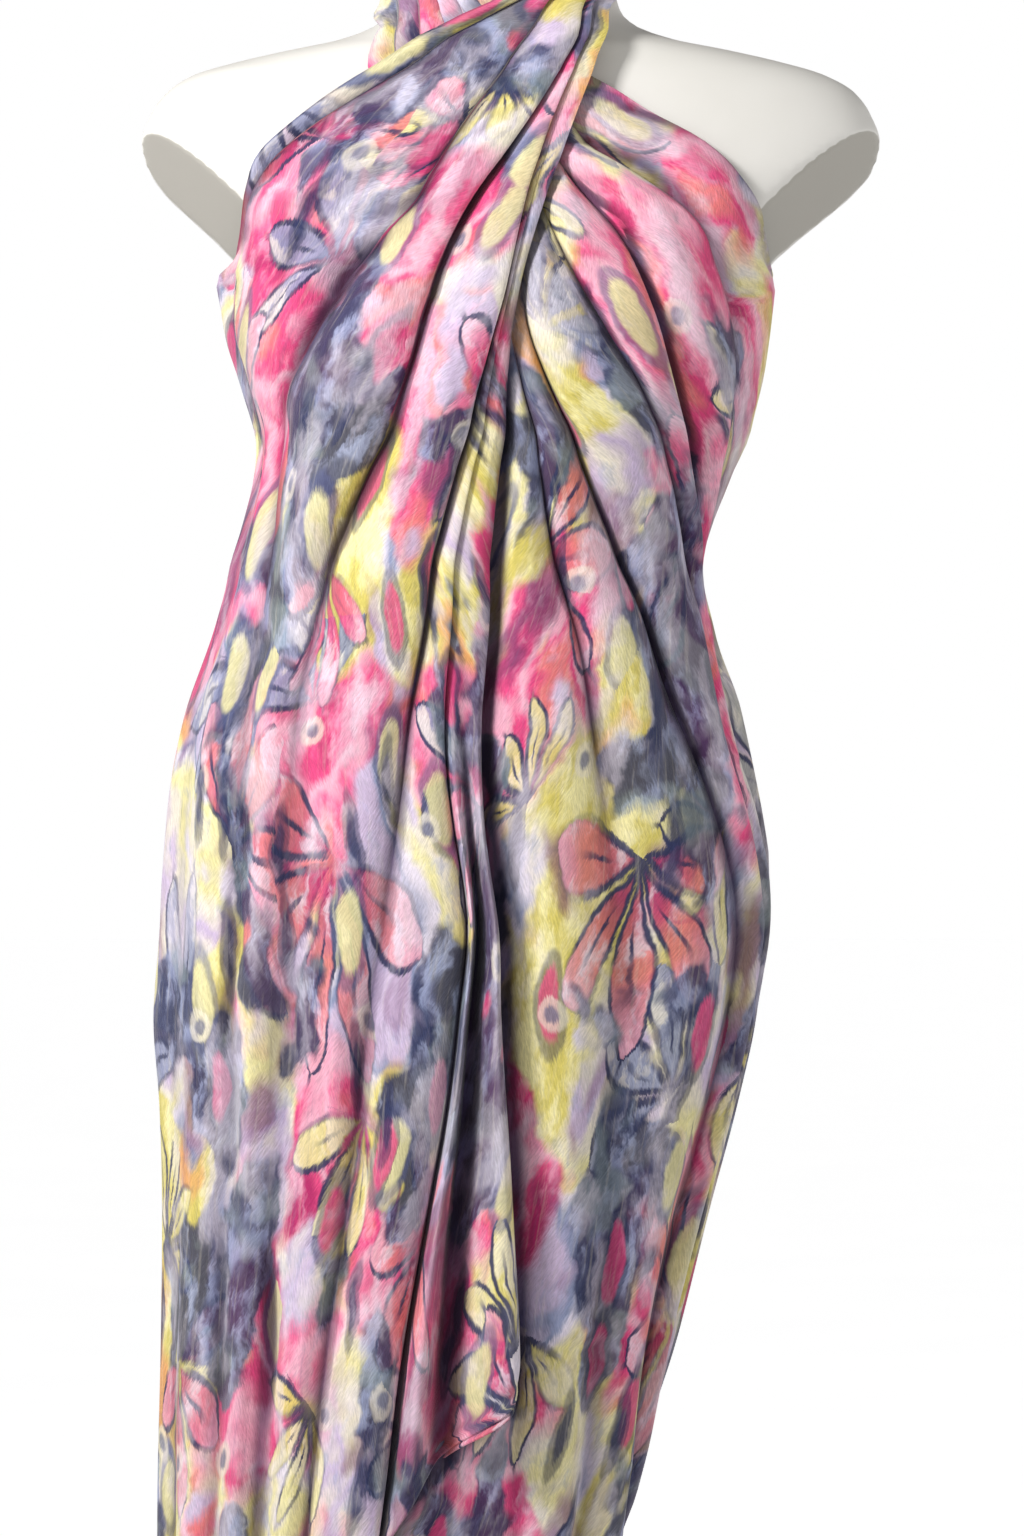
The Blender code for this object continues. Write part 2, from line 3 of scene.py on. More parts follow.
import bpy
import numpy as np
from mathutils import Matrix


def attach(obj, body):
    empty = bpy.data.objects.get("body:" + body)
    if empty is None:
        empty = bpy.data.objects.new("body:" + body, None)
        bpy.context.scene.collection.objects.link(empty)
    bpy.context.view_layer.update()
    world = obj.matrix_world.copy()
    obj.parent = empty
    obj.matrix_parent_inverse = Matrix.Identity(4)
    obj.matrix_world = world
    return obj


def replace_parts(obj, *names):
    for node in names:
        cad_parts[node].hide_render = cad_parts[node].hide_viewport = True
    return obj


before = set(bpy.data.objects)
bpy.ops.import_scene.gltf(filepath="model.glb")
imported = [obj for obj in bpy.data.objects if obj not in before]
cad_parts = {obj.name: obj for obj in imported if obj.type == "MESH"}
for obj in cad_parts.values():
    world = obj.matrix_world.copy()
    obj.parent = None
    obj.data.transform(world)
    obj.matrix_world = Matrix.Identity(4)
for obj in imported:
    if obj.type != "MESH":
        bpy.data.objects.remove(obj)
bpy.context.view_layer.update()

# Looks of a batik sarong worn as a halter wrap on a limbless dress form with a floor stand.
# Tables are in millimetres and degrees, in the frame's own axes: X to the right as seen from the front,
# Y to the back, Z up. Meshes are made in metres. Angles go round the body from the front, positive right.

MM = 0.001
CLOTH_THICKNESS = 0.9
EASE = 4.6
# Power of the superellipse that each section is, where 2 is an ellipse.
SQUARENESS = 2.4
# In the tables NONE is a place left out, to be filled in evenly, and SIDE lies past any side of the body.
NONE = math.nan
SIDE = 400
ANY_HEIGHT = 1000
ARMPIT = 1290
SHOULDER_TIP = 1365

# The dress form, from the top of the neck down.
# Columns: height, centre, half width, depth to the front, depth to the back.
FORM = (
    (1540, 31, 55.0, 52, 58),
    (1500, 31, 56.0, 51, 61),
    (1465, 31, 58.0, 51, 64),
    (1445, 31, 61.0, 53, 66),
    (1432, 31, 65.0, 55, 68),
    (1424, 31, 74.0, 57, 70),
    (1416, 32, 96.0, 59, 71),
    (1410, 33, 126.0, 61, 72),
    (1404, 33, 153.0, 62, 73),
    (1397, 33, 177.0, 64, 74),
    (1388, 34, 192.0, 67, 76),
    (1376, 34, 201.0, 71, 79),
    (1360, 34, 206.5, 77, 82),
    (1346, 34, 204.0, 82, 85),
    (1332, 33, 194.0, 87, 88),
    (1316, 32, 176.0, 94, 91),
    (1302, 31, 160.0, 101, 93),
    (1290, 30, 149.0, 108, 95),
    (1275, 29, 145.0, 116, 96),
    (1255, 29, 141.0, 121, 97),
    (1230, 28, 136.0, 118, 95),
    (1195, 26, 124.0, 102, 90),
    (1150, 17, 117.0, 92, 85),
    (1115, 11, 115.0, 91, 83),
    (1080, 8, 121.0, 94, 87),
    (1020, 6, 138.0, 100, 101),
    (950, 6, 152.0, 103, 112),
    (900, 4, 156.0, 103, 114),
    (850, 1, 153.0, 101, 109),
    (800, -4, 145.0, 98, 101),
    (745, -9, 134.0, 94, 93),
)

# The cloth's plain outline below the armpits.
# Columns: height, left side, right side, depth to the front, depth to the back.
CLOTH = (
    (1275, -121, 179, 121, 100),
    (1250, -119, 176, 128, 101),
    (1225, -113, 172, 127, 100),
    (1198, -106, 165, 123, 98),
    (1171, -107, 153, 119, 96),
    (1144, -114, 143, 116, 94),
    (1117, -122, 138, 115, 93),
    (1091, -129, 143, 115, 95),
    (1037, -147, 157, 117, 103),
    (983, -156, 168, 118, 113),
    (929, -159, 173, 118, 118),
    (876, -162, 167, 117, 119),
    (822, -159, 155, 115, 117),
    (768, -157, 140, 113, 114),
    (700, -158, 121, 111, 111),
    (640, -158, 103, 109, 109),
    (580, -158, 87, 108, 108),
    (480, -157, 78, 108, 108),
    (380, -156, 75, 109, 109),
    (280, -156, 76, 111, 112),
    (170, -158, 80, 114, 116),
)

# Sections of the over panel, from its top edge or side (outer) to its free edge.
# Columns: number, outer x and z, the creases roll, bust, first, second, slit and inner, edge x and z, bow.
OVER = (
    (0, 28, 1435, 41, 54, 70, 75, 79, 82, 85, 1435, 0),
    (0.5, 8, 1424, 22, 47, 67, 72, 76, 79, 82, 1420, 0),
    (1, -14, 1412, 1, 39, 64, 68, 72, 75, 78, 1406, 0),
    (2, -38, 1395, -22, 28, 54, 60, 64, 68, 72, 1386, 0),
    (3, -59, 1384, -48, 16, 43, 51, 55, 59, 64, 1363, 0),
    (4, -80, 1363, -70, -2, 28, 44, 48, 51, 55, 1338, 0),
    (5, -98, 1349, -90, -6, 13, 38, 42, 45, 49, 1316, 0),
    (6, -110, 1331, -105, -28, 1, 34, 36, 38, 40, 1285, 0),
    (6.5, -115, 1308, -110, -42, -4, 31, 33, 35, 38, 1268, 0),
    (6.8, -118, 1293, -112, -50, -6, 29, 32, 34, 36, 1259, 0),
    (7.1, -SIDE, 1276, -114, -57, -9, 26, 29, 32, 35, 1250, 0),
    (8, -SIDE, 1256, -116, -72, -18, 17, 22, 26, 30, 1216, 0),
    (9, -SIDE, 1227, -109, -87, -29, 7, 15, 21, 26, 1177, 0),
    (10, -SIDE, 1177, -102, -97, -47, -2, 8, 17, 25, 1132, 0),
    (11, -SIDE, 1143, NONE, NONE, -63, -10, 3, 13, 22, 1087, 0),
    (12, -SIDE, 1076, NONE, NONE, -77, -20, -2, 9, 17, 1031, 0),
    (13, -SIDE, 998, NONE, -115, -84, -25, 1, 10, 18, 986, 0),
    (14, -SIDE, 919, NONE, -120, -90, -34, 11, 16, 26, 925, 0),
    (15, -SIDE, 835, NONE, -124, -95, -44, 3, 10, 28, 852, 0),
    (16, -SIDE, 734, NONE, -125, -99, -55, -11, 3, 32, 779, 0),
    (17, -SIDE, 611, NONE, -128, -102, -67, -26, -1, 34, 718, 0),
    (18, -SIDE, 454, NONE, -128, -105, -74, -35, -4, 33, 676, 20),
    (19, -SIDE, 247, NONE, -128, -105, -75, -41, -6, 30, 664, 76),
)

# Sections of the under panel, from its free edge, hidden by the over panel, to its top edge or side.
# Columns: number, edge x, edge z, the creases start, soft, deep, side, upper and top, outer x, outer z, bow.
UNDER = (
    (0, -SIDE, 1435, -28, -17, -6, 4, 15, 26, 36, 1435, 0),
    (0.5, -38, 1421, -28, -16, -3, 9, 22, 34, 47, 1426, 0),
    (1, -41, 1409, -29, -15, 0, 13, 28, 41, 57, 1415, 0),
    (2, -43, 1381, -25, -7, 10, 27, 41, 55, 78, 1388, -4),
    (3, -36, 1356, -14, 7, 24, 38, 53, 68, 106, 1378, -15),
    (4, -24, 1328, 0, 21, 35, 46, 59, 84, 136, 1360, -7),
    (5, -11, 1292, 16, 32, 41, 53, 83, 122, 158, 1336, 5),
    (6, -3, 1252, 26, 31, 37, 68, 103, 140, 172, 1312, 0),
    (6.5, -2, 1231, 27, 34, 43, 78, 109, 146, 175, 1302, 0),
    (6.8, -1, 1218, 28, 36, 46, 84, 112, 150, 178, 1290, 0),
    (7.1, 0, 1206, 28, 38, 50, 89, 115, 152, SIDE, 1276, 0),
    (8, 0, 1160, 27, 46, 65, 105, 124, 158, SIDE, 1244, 0),
    (9, -1, 1110, 25, 55, 81, 116, 131, 148, SIDE, 1194, 0),
    (10, -2, 1059, 21, 65, 96, 127, NONE, NONE, SIDE, 1143, 0),
    (11, -4, 1009, 17, 72, 110, 131, NONE, NONE, SIDE, 1104, 0),
    (12, -7, 958, 16, 80, 124, NONE, NONE, NONE, SIDE, 1054, 0),
    (13, -10, 891, 25, 87, 147, NONE, NONE, NONE, SIDE, 992, 0),
    (14, -14, 830, 29, 90, 158, NONE, NONE, NONE, SIDE, 919, 0),
    (15, -20, 768, 31, 91, 146, NONE, NONE, NONE, SIDE, 852, 0),
    (16, -25, 706, 35, 88, 124, NONE, NONE, NONE, SIDE, 774, 0),
    (17, -29, 645, 36, 77, 105, NONE, NONE, NONE, SIDE, 690, 0),
    (18, -34, 594, 32, 66, 88, NONE, NONE, NONE, SIDE, 530, 0),
    (19, -37, 555, 30, 58, NONE, NONE, NONE, NONE, SIDE, 247, 30),
)

# Heights of the edges and creases over the plain outline, a row each.
# Columns: at the nape, neck, chest, bust, waist, hip and hem, which are the sections in STATIONS.
STATIONS = (-6, 0, 5, 8, 11, 14, 19)
NECK_SECTION = 0
OVER_CREASES = (
    (-2.6, 9, 11, 3, 0, 0, 0),
    (-2.6, 7, 8, 3, 0, 0, 0),
    (-2.6, 8, 8, 4, 0, 0, 2),
    (-2.6, 8, 8, 5, 4, 2, 2),
    (-2.6, 8, 8, 6, 4, 5, 10),
    (-2.6, 9, 11, 11, 10, 3, 0),
    (-2.6, 9, 12, 13, 11, 3, 0),
    (-2.6, 9, 10, 9, 7, 8, 10),
)
UNDER_CREASES = (
    (-2.6, 0, 0, 0, 0, 0, 0),
    (-2.6, 0, 0, 0, 0, 0, 0),
    (-2.6, 0, 0, 3, 4, 3, 3),
    (-2.6, 0, 1, 0, 0, 2, 3),
    (-2.6, 0, 1, 4, 5, 3, 3),
    (-2.6, 0, 0, 0, 2, 2, 2),
    (-2.6, 0, 2, 1, 1, 1, 1),
    (-2.6, 0, 4, 1, 0, 0, 0),
)

# The folds between neighbouring creases, a row each.
# Columns: where the crest stands from crease to crease, columns of faces, steepness of the side before the
# crest and after it (1 is round, less is steeper, more is hollow), lip (how far the fold hangs over its
# crease, as a share of its rise, to the right or, if negative, to the left), rise at each of the STATIONS.
OVER_FOLDS = (
    (0.50, 24, 1.6, 0.8, 0.0, 3, 5, 5, 3, 2, 3, 8),
    (0.55, 34, 0.9, 0.7, 0.2, 3, 5, 7, 6, 4, 4, 9),
    (0.72, 42, 1.0, 0.55, 0.35, 3, 5, 12, 13, 10, 7, 11),
    (0.72, 44, 1.0, 0.55, 0.35, 3, 3, 11, 16, 14, 9, 8),
    (0.70, 34, 0.8, 0.5, 0.30, 3, 0, 2, 3, 6, 9, 22),
    (0.42, 34, 1.5, 2.4, 0.0, 3, 0, 0, 0, 0, 15, 23),
    (0.70, 32, 2.2, 0.8, 0.0, 3, 0, 0, 0, 0, 14, 22),
)
UNDER_FOLDS = (
    (0.50, 14, 1.0, 1.0, 0.0, 3, 2, 0, 0, 0, 0, 0),
    (0.50, 30, 0.9, 0.7, 0.0, 3, 3, 0, 8, 11, 10, 9),
    (0.50, 34, 0.7, 0.6, 0.0, 3, 3, 1, 10, 12, 10, 11),
    (0.36, 44, 0.55, 0.9, -0.35, 3, 3, 7, 16, 16, 12, 10),
    (0.45, 34, 0.6, 0.8, -0.25, 3, 4, 10, 10, 6, 5, 9),
    (0.45, 34, 0.6, 0.8, -0.2, 3, 4, 10, 9, 4, 4, 9),
    (0.50, 30, 0.8, 1.4, 0.0, 3, 4, 5, 4, 3, 3, 6),
)
# How far each fold is smoothed out to a soft wave at each of the STATIONS, from 0 (creased) to 1.
OVER_SOFTNESS = (
    (0, 0, 0.3, 1, 1, 1, 1),
    (0, 0, 0.2, 0.9, 1, 1, 0.9),
    (0, 0, 0, 0, 0.45, 1, 0.9),
    (0, 0, 0, 0, 0.05, 0.75, 0.85),
    (0, 0, 0, 0, 0, 0.3, 0.1),
    (0, 0, 0, 0, 0, 0, 0),
    (0, 0, 0, 0, 0, 0, 0),
)
UNDER_SOFTNESS = (
    (0, 1, 1, 1, 1, 1, 1),
    (0, 0, 0, 0.1, 0.3, 0.9, 1),
    (0, 0, 0, 0, 0.2, 0.9, 1),
    (0, 0, 0, 0, 0.1, 0.8, 1),
    (0, 0, 0, 0.1, 0.6, 1, 1),
    (0, 0, 0, 0.5, 1, 1, 1),
    (0, 0, 0.5, 1, 1, 1, 1),
)
# Millimetres beside the over panel in which the under panel's folds rise, and in which a side comes down.
FREE_OF_RIM = 10
SIDE_BLEND = 22
PANEL_ROWS = 196
ROW_SOFTNESS = 9
# In section numbers: where the side line starts, and how far before it and over what run it comes down; where
# rows begin to be softened below the neck, and over what run; over what run small creases grow.
SIDE_SECTION = 7
SIDE_LEAD = 2.4
SIDE_RUN = 1.8
NECK_LEAD = 0.5
NECK_RUN = 2.5
CREASE_RUN = 3
# The print: sections over which it opens, the radius that it is wound on, the first fold of the band beside
# the over panel's free edge, and how far that band's print is moved across.
OPENING = 5.0
MEAN_RADIUS = 145.0
BAND_FOLD = 4
BAND_SHIFT = 30.0
# Reach and depth of the narrow and the wide hollows, which set the painted shade in creases.
HOLLOWS = ((9.0, 5.0), (26.0, 8.5))
# Faint waves: how many, shortest and longest, greatest slant, least and greatest rise.
WAVES = 6
WAVE_LENGTHS = (45, 110)
WAVE_SLANT = 0.5
WAVE_RISES = (0.25, 0.5)

# Soft flutes of the back.
# Columns: angle, half width in degrees, depth at the top, waist, hip and hem.
FLUTES = (
    (108, 12, 2, 7, 5, 16),
    (135, 14, 4, 11, 8, 24),
    (161, 11, 2, 8, 6, 17),
    (188, 14, 4, 13, 9, 26),
    (217, 12, 2, 9, 6, 19),
    (245, 13, 3, 9, 7, 23),
)
FLUTE_HEIGHTS = (1290, 1117, 900, 170)
# Degrees beside each side in which the flutes rise, the back's width on the flat cloth, and the hip's height.
BACK_SIDE_BLEND = 14
BACK_WIDTH = 460.0
HIP = 919
BACK_ROWS = 170
BACK_COLUMNS = 190
BACK_TOP_SIDE = 1276
BACK_TOP_CENTRE = 1280
HEM_SIDE = 247
HEM_CENTRE = 172

# Smaller creases, ridges and strains, each along a line of (x, z) places seen from the front or the back.
# Columns: width, height over the cloth (negative is a trough), lean (towards the side where it is steeper,
# 1 is the right of the line's direction), share of its length to fade in, and to fade out, then the places.
OVER_STRAINS = (
    (5, -3.5, 0.6, 0.1, 0.5, 54, 1430, 48, 1420, 38, 1409, 32, 1394, 27, 1388),
    (8, -4.5, 0.5, 0.3, 0.3, 1, 1350, -51, 1323, -110, 1304),
    (9, 3.0, 0.2, 0.3, 0.3, -6, 1360, -56, 1334, -108, 1316),
    (10, -6.5, 0.5, 0.25, 0.5, 12, 1334, -41, 1312, -78, 1300, -87, 1280, -95, 1250, -102, 1214),
    (8, 4.0, 0.3, 0.3, 0.5, 2, 1320, -46, 1299, -74, 1274, -86, 1240, -94, 1205),
    (9, -4.5, 0.5, 0.3, 0.4, -14, 1312, -50, 1284, -72, 1248, -97, 1196),
    (10, 3.0, 0.2, 0.3, 0.4, -4, 1300, -40, 1270, -62, 1234, -86, 1186),
    (9, -4.0, 0.4, 0.3, 0.4, -8, 1264, -30, 1230, -58, 1196, -96, 1160),
    (10, -3.4, 0.3, 0.3, 0.5, -34, 1177, -62, 1130, -92, 1084, -110, 1040),
    (7, 2.6, 0.5, 0.3, 0.4, -32, 922, -54, 882, -56, 824, -53, 754),
    (9, -3.2, 0.3, 0.3, 0.4, -91, 988, -120, 889, -116, 805, -99, 681),
    (8, 2.4, 0.0, 0.4, 0.5, -80, 1010, -109, 915, -112, 850),
    (7, -3.0, 0.5, 0.2, 0.5, 11, 1440, -11, 1406, -39, 1384, -67, 1362),
    (10, -2.5, 0.2, 0.4, 0.5, -52, 1150, -78, 1090, -98, 1040),
    (8, 2.0, 0.0, 0.3, 0.6, -60, 760, -70, 690, -76, 600),
    (7, -3.4, 0.4, 0.3, 0.3, -100, 760, -96, 700, -98, 640),
    (8, -3.0, 0.3, 0.3, 0.4, -136, 900, -134, 800, -137, 690),
)
UNDER_STRAINS = (
    (6, -5.4, 0.6, 0.15, 0.4, 58, 1343, 78, 1325, 96, 1311, 105, 1284, 119, 1245, 124, 1212, 132, 1154,
     137, 1124),
    (7, 3.2, 0.2, 0.2, 0.4, 66, 1346, 88, 1332, 106, 1316, 116, 1290, 130, 1250),
    (7, -5.2, 0.5, 0.15, 0.5, 60, 1357, 86, 1350, 106, 1342, 125, 1328, 143, 1306),
    (7, 3.0, 0.2, 0.2, 0.5, 66, 1366, 96, 1361, 118, 1352, 138, 1336),
    (7, -4.6, 0.5, 0.15, 0.5, 69, 1375, 98, 1372, 119, 1366, 140, 1352),
    (10, 2.6, 0.0, 0.4, 0.5, 62, 1104, 60, 1048, 62, 992),
    (5, -2.2, 0.0, 0.3, 0.5, 34, 1042, 35, 1000),
    (6, 4.5, 0.8, 0.2, 0.3, 140, 1082, 156, 1026, 165, 964, 163, 874),
    (9, -2.6, 0.3, 0.3, 0.6, 92, 930, 108, 850, 104, 760, 92, 680),
    (7, -3.0, 0.4, 0.3, 0.3, 42, 696, 70, 690, 104, 700),
    (6, 2.4, 0.2, 0.3, 0.3, 40, 704, 70, 699, 100, 708),
)
# The shade that the over panel's free edge and hem cast on the cloth beneath, given like the strains.
RIM_SHADE = (
    (9, 0.75, 0.0, 0.1, 0.1, 38, 1268, 35, 1250, 30, 1216, 26, 1177, 25, 1132, 22, 1087, 17, 1031, 18, 986,
     26, 925, 28, 852, 32, 779, 34, 718, 33, 676, 30, 664, 10, 648, -10, 626, -30, 597, -60, 540, -90, 470),
)
BACK_STRAINS = (
    (9, -3.0, 0.4, 0.3, 0.5, 60, 1270, 50, 1180, 40, 1110),
    (10, -3.0, 0.3, 0.3, 0.5, -30, 1265, -24, 1170, -36, 1100),
    (8, 2.6, 0.3, 0.4, 0.5, 10, 1080, 4, 960, 16, 820),
    (11, -3.4, 0.4, 0.3, 0.5, 96, 1010, 102, 880, 92, 740),
    (10, -3.2, 0.3, 0.3, 0.5, -86, 980, -100, 860, -92, 700),
    (9, 2.8, 0.2, 0.3, 0.5, -50, 700, -58, 520, -52, 330),
    (10, -3.2, 0.3, 0.3, 0.5, 40, 640, 46, 480, 38, 300),
)

# The straps, from the front of the neck to the nape.
# Columns: angle and height of the edge at the throat, angle and height of the edge at the shoulder.
LEFT_STRAP = (
    (-22, 1463, -100, 1441),
    (-58, 1486, -118, 1448),
    (-100, 1496, -138, 1453),
    (-140, 1496, -155, 1455),
    (-165, 1492, -166, 1456),
    (-176, 1486, -175, 1462),
)
RIGHT_STRAP = (
    (20, 1463, 90, 1443),
    (57, 1486, 112, 1449),
    (99, 1496, 135, 1453),
    (139, 1496, 154, 1455),
    (165, 1492, 166, 1456),
    (176, 1486, 175, 1462),
)

# The knot and the two tails below it.
KNOT_CENTRE = (31, 76, 1474)
KNOT_HALF = (18.0, 12.0, 21.0)
KNOT_ROWS = 73
KNOT_COLUMNS = 97
# Columns of the tails: height, angle, half width, distance off the plain outline.
LEFT_TAIL = (
    (1453.0, -172, 8, 6),
    (1435, -168, 14, 9),
    (1405, -163, 22, 9),
    (1370, -160, 27, 7),
    (1335, -158, 31, 6),
    (1318, -157, 32, 7),
)
RIGHT_TAIL = (
    (1453.0, 172, 8, 6),
    (1436, 168, 13, 10),
    (1410, 164, 19, 10),
    (1382, 161, 24, 8),
    (1356, 159, 28, 7),
    (1340, 158, 29, 8),
)
TAIL_ROWS = 60
TAIL_COLUMNS = 72
TAIL_FOLDS = 3
TAIL_RISE = 4.0
TAIL_SLANT = 10
TAIL_FULLNESS = 1.4

# The stand.
BASE_RADIUS = 190
BASE_THICKNESS = 8
POLE_RADIUS = 12.5
PLATE_RADIUS = 55
PLATE_THICKNESS = 8
CLEAR = 0.3
ARC_POINTS = 5
FORM_LEVELS = ((1540, 1420, 36), (1420, 1270, 120), (1270, 751, 120))
FORM_STEPS = 200
# The flat ends of the arm stumps: a place on each plane, and the way it faces.
STUMP_ENDS = (
    ((-116, -62, 1325), (-0.723, -0.383, -0.575)),
    ((175, -62, 1319), (0.707, -0.394, -0.587)),
)
# Radius and height over the neck's top, from the cap's crown to its underside.
CAP = ((0, 12), (26, 11.5), (46, 8), (52, 2), (51, 0), (0, 0))
CAP_CENTRE = (31, 3)
# The form's lower edge: radius of its rounding, and rows of points in it.
CURL = 6
CURL_ROWS = 6

# The view, and the floor with its glow, which grows from one distance to another in metres.
VIEW_CENTRE = (0.0347, 1.010)
VIEW_HEIGHT = 0.860
VIEW_DISTANCE = 4.2
SENSOR = 36.0
FLOOR_SIZE = 40000
GLOW_START = 1.2
GLOW_END = 5.0
GLOW = 0.8


def cubic(knots, values, at):
    """Read the columns of values at the places `at`, with a cubic through the rows that never overshoots."""
    knots = np.asarray(knots, float)
    values = np.asarray(values, float).reshape(len(knots), -1)
    at = np.asarray(at, float)
    step = np.diff(knots)
    slope = np.diff(values, axis=0) / step[:, None]
    product = slope[:-1] * slope[1:]
    total = np.where(product > 0, slope[:-1] + slope[1:], 1.0)
    inner = np.where(product > 0, 2 * product / total, 0.0)
    tangent = np.vstack([slope[:1], inner, slope[-1:]])
    index = np.clip(np.searchsorted(knots, at, side="right") - 1, 0, len(knots) - 2)
    length = step[index][:, None]
    t = np.clip((at - knots[index])[:, None] / length, 0, 1)
    low, high = values[index], values[index + 1]
    blend = t * t * (3 - 2 * t)
    start = t * (1 - t) ** 2 * length * tangent[index]
    end = t * t * (t - 1) * length * tangent[index + 1]
    return low + (high - low) * blend + start + end


def smooth_step(share):
    """0 up to 0 and 1 from 1 on, with a soft S between."""
    share = np.clip(share, 0, 1)
    return share * share * (3 - 2 * share)


def outline_table():
    """The cloth's plain outline from the neck to the hem: height, centre, half width, front and back."""
    upper = []
    for z, centre, half, front, back in FORM:
        if z >= ARMPIT:
            lift = EASE if z > SHOULDER_TIP else 0
            upper.append((z + lift, centre, half + EASE, front + EASE, back + EASE))
    lower = [(z, (left + right) / 2, (right - left) / 2, f, b) for z, left, right, f, b in CLOTH]
    return np.array(upper + lower, float)[::-1]


OUTLINE = outline_table()
FORM_TABLE = np.array(FORM, float)[::-1]


def section(table, z):
    """Centre, half width, front and back of the table's outline at the heights z."""
    z = np.asarray(z, float)
    values = cubic(table[:, 0], table[:, 1:], z.ravel())
    return [column.reshape(z.shape) for column in values.T]


def radius(table, angle, z):
    """Distance from the section's centre to its outline, a superellipse with its own front and back."""
    _, half, front, back = section(table, z)
    depth = np.where(np.cos(angle) > 0, front, back)
    wide = np.abs(np.sin(angle) / half) ** SQUARENESS
    deep = np.abs(np.cos(angle) / depth) ** SQUARENESS
    return (wide + deep) ** (-1 / SQUARENESS)


def front_angle(x, z):
    """Angle round the body at which the front of the cloth's outline passes x. Beyond a side, that side."""
    centre, half, front, _ = section(OUTLINE, z)
    across = np.clip((x - centre) / half, -1, 1)
    forward = front * (1 - np.abs(across) ** SQUARENESS) ** (1 / SQUARENESS)
    return np.arctan2(across * half, forward)


def place(table, angle, z, height):
    """Points at the given angles and heights z, raised by height from the table's outline."""
    centre = section(table, z)[0]
    reach = radius(table, angle, z) + height
    x = centre + reach * np.sin(angle)
    y = -reach * np.cos(angle)
    return np.stack([x, y, z + 0 * angle], axis=-1)


def clipped(x, z):
    """x, kept within the cloth's outline at height z."""
    centre, half, _, _ = section(OUTLINE, z)
    return np.clip(x, centre - half, centre + half)


def fill_evenly(values):
    """Space the unnamed places of each row evenly between their neighbours."""
    filled = values.copy()
    number = np.arange(values.shape[1])
    for row in filled:
        known = ~np.isnan(row)
        row[:] = np.interp(number, number[known], row[known])
    return filled


def panel_lines(table):
    """Angles and heights of all the lines of a panel, one row a section."""
    rows = np.array(table, float)
    start_z, end_z, bow = rows[:, 2], rows[:, 10], rows[:, 11]
    start_x = clipped(rows[:, 1], start_z)
    end_x = clipped(rows[:, 9], end_z)
    x = np.column_stack([start_x, rows[:, 3:9], end_x])
    share = (x - start_x[:, None]) / (end_x - start_x)[:, None]
    z = start_z[:, None] + (end_z - start_z)[:, None] * share + (bow[:, None] * 4 * share * (1 - share))
    angle = front_angle(np.where(np.isnan(x), 0, x), np.where(np.isnan(z), ANY_HEIGHT, z))
    angle = np.where(np.isnan(x), NONE, angle)
    return fill_evenly(angle), fill_evenly(z)


def with_strap(lines, strap, throat_first):
    """Lines of a panel, after those of its strap, which share out its width from the nape to the throat."""
    angle, z = lines
    share = (angle[0] - angle[0, 0]) / (angle[0, -1] - angle[0, 0])
    throat, throat_z, shoulder, shoulder_z = np.array(strap[::-1], float).T[:, :, None]
    first, last = (throat, shoulder) if throat_first else (shoulder, throat)
    first_z, last_z = (throat_z, shoulder_z) if throat_first else (shoulder_z, throat_z)
    strap_angle = np.radians(first + (last - first) * share)
    strap_z = first_z + (last_z - first_z) * share
    return np.vstack([strap_angle, angle]), np.vstack([strap_z, z])


def even_rows(angle, z, number, count):
    """Section numbers of count rows evenly spaced along the panel, whose sections have these numbers."""
    points = place(OUTLINE, angle, z, 0)
    length = np.linalg.norm(np.diff(points, axis=0), axis=-1).mean(axis=1)
    total = np.concatenate([[0], np.cumsum(length)])
    return np.interp(np.linspace(0, total[-1], count), total, number)


def fold_columns(folds):
    """For each column of points: the number of its fold, and its place across that fold from 0 to 1."""
    counts = [row[1] for row in folds]
    fold = np.repeat(np.arange(len(folds)), counts)
    share = np.concatenate([np.arange(count) / count for count in counts])
    return np.append(fold, len(folds) - 1), np.append(share, 1.0)


def across_lines(lines, fold, share):
    """Values between neighbouring lines, straight from one to the next."""
    return lines[:, fold] * (1 - share) + lines[:, fold + 1] * share


def fold_heights(creases, rises, softness, folds, fold, share):
    """Heights across the folds: a soft curve through the creases, and a crest between them.

    A quarter sine climbs from the crease to the crest and another falls from it. Each is raised to its
    steepness, so that a value under 1 makes a full round fold with a narrow crease beside it. Where the
    folds are soft, a whole cosine wave with the same crest takes over.
    """
    number = np.arange(creases.shape[1])
    carried = cubic(number, creases.T, fold + share).T
    crest, _, before_power, after_power, _ = np.array([row[:5] for row in folds])[fold].T
    before = np.sin(np.pi / 2 * np.clip(share / crest, 0, 1)) ** before_power
    after = np.sin(np.pi / 2 * np.clip((1 - share) / (1 - crest), 0, 1)) ** after_power
    phase = np.where(share < crest, share / crest, (1 - share) / (1 - crest))
    wave = (1 - np.cos(np.pi * phase)) / 2
    crest_shape = np.minimum(before, after) + (wave - np.minimum(before, after)) * softness[:, fold]
    return carried + rises[:, fold] * crest_shape


def fold_lips(rises, folds, fold, share):
    """How far each point is pushed sideways: half a sine over the steep side, which hangs over its crease."""
    crest, _, _, _, lip = np.array([row[:5] for row in folds])[fold].T
    side = np.where(lip > 0, (1 - share) / (1 - crest), share / crest)
    return rises[:, fold] * lip * np.sin(np.pi * np.clip(side, 0, 1))


def softened(rows):
    """Rows averaged with their neighbours under a bell, mirrored through the first and last rows."""
    reach = ROW_SOFTNESS
    weights = np.hanning(2 * reach + 3)[1:-1]
    weights /= weights.sum()
    before = 2 * rows[:1] - rows[reach:0:-1]
    after = 2 * rows[-1:] - rows[-2:-reach - 2:-1]
    padded = np.concatenate([before, rows, after])
    return sum(weight * padded[start:start + len(rows)] for start, weight in enumerate(weights))


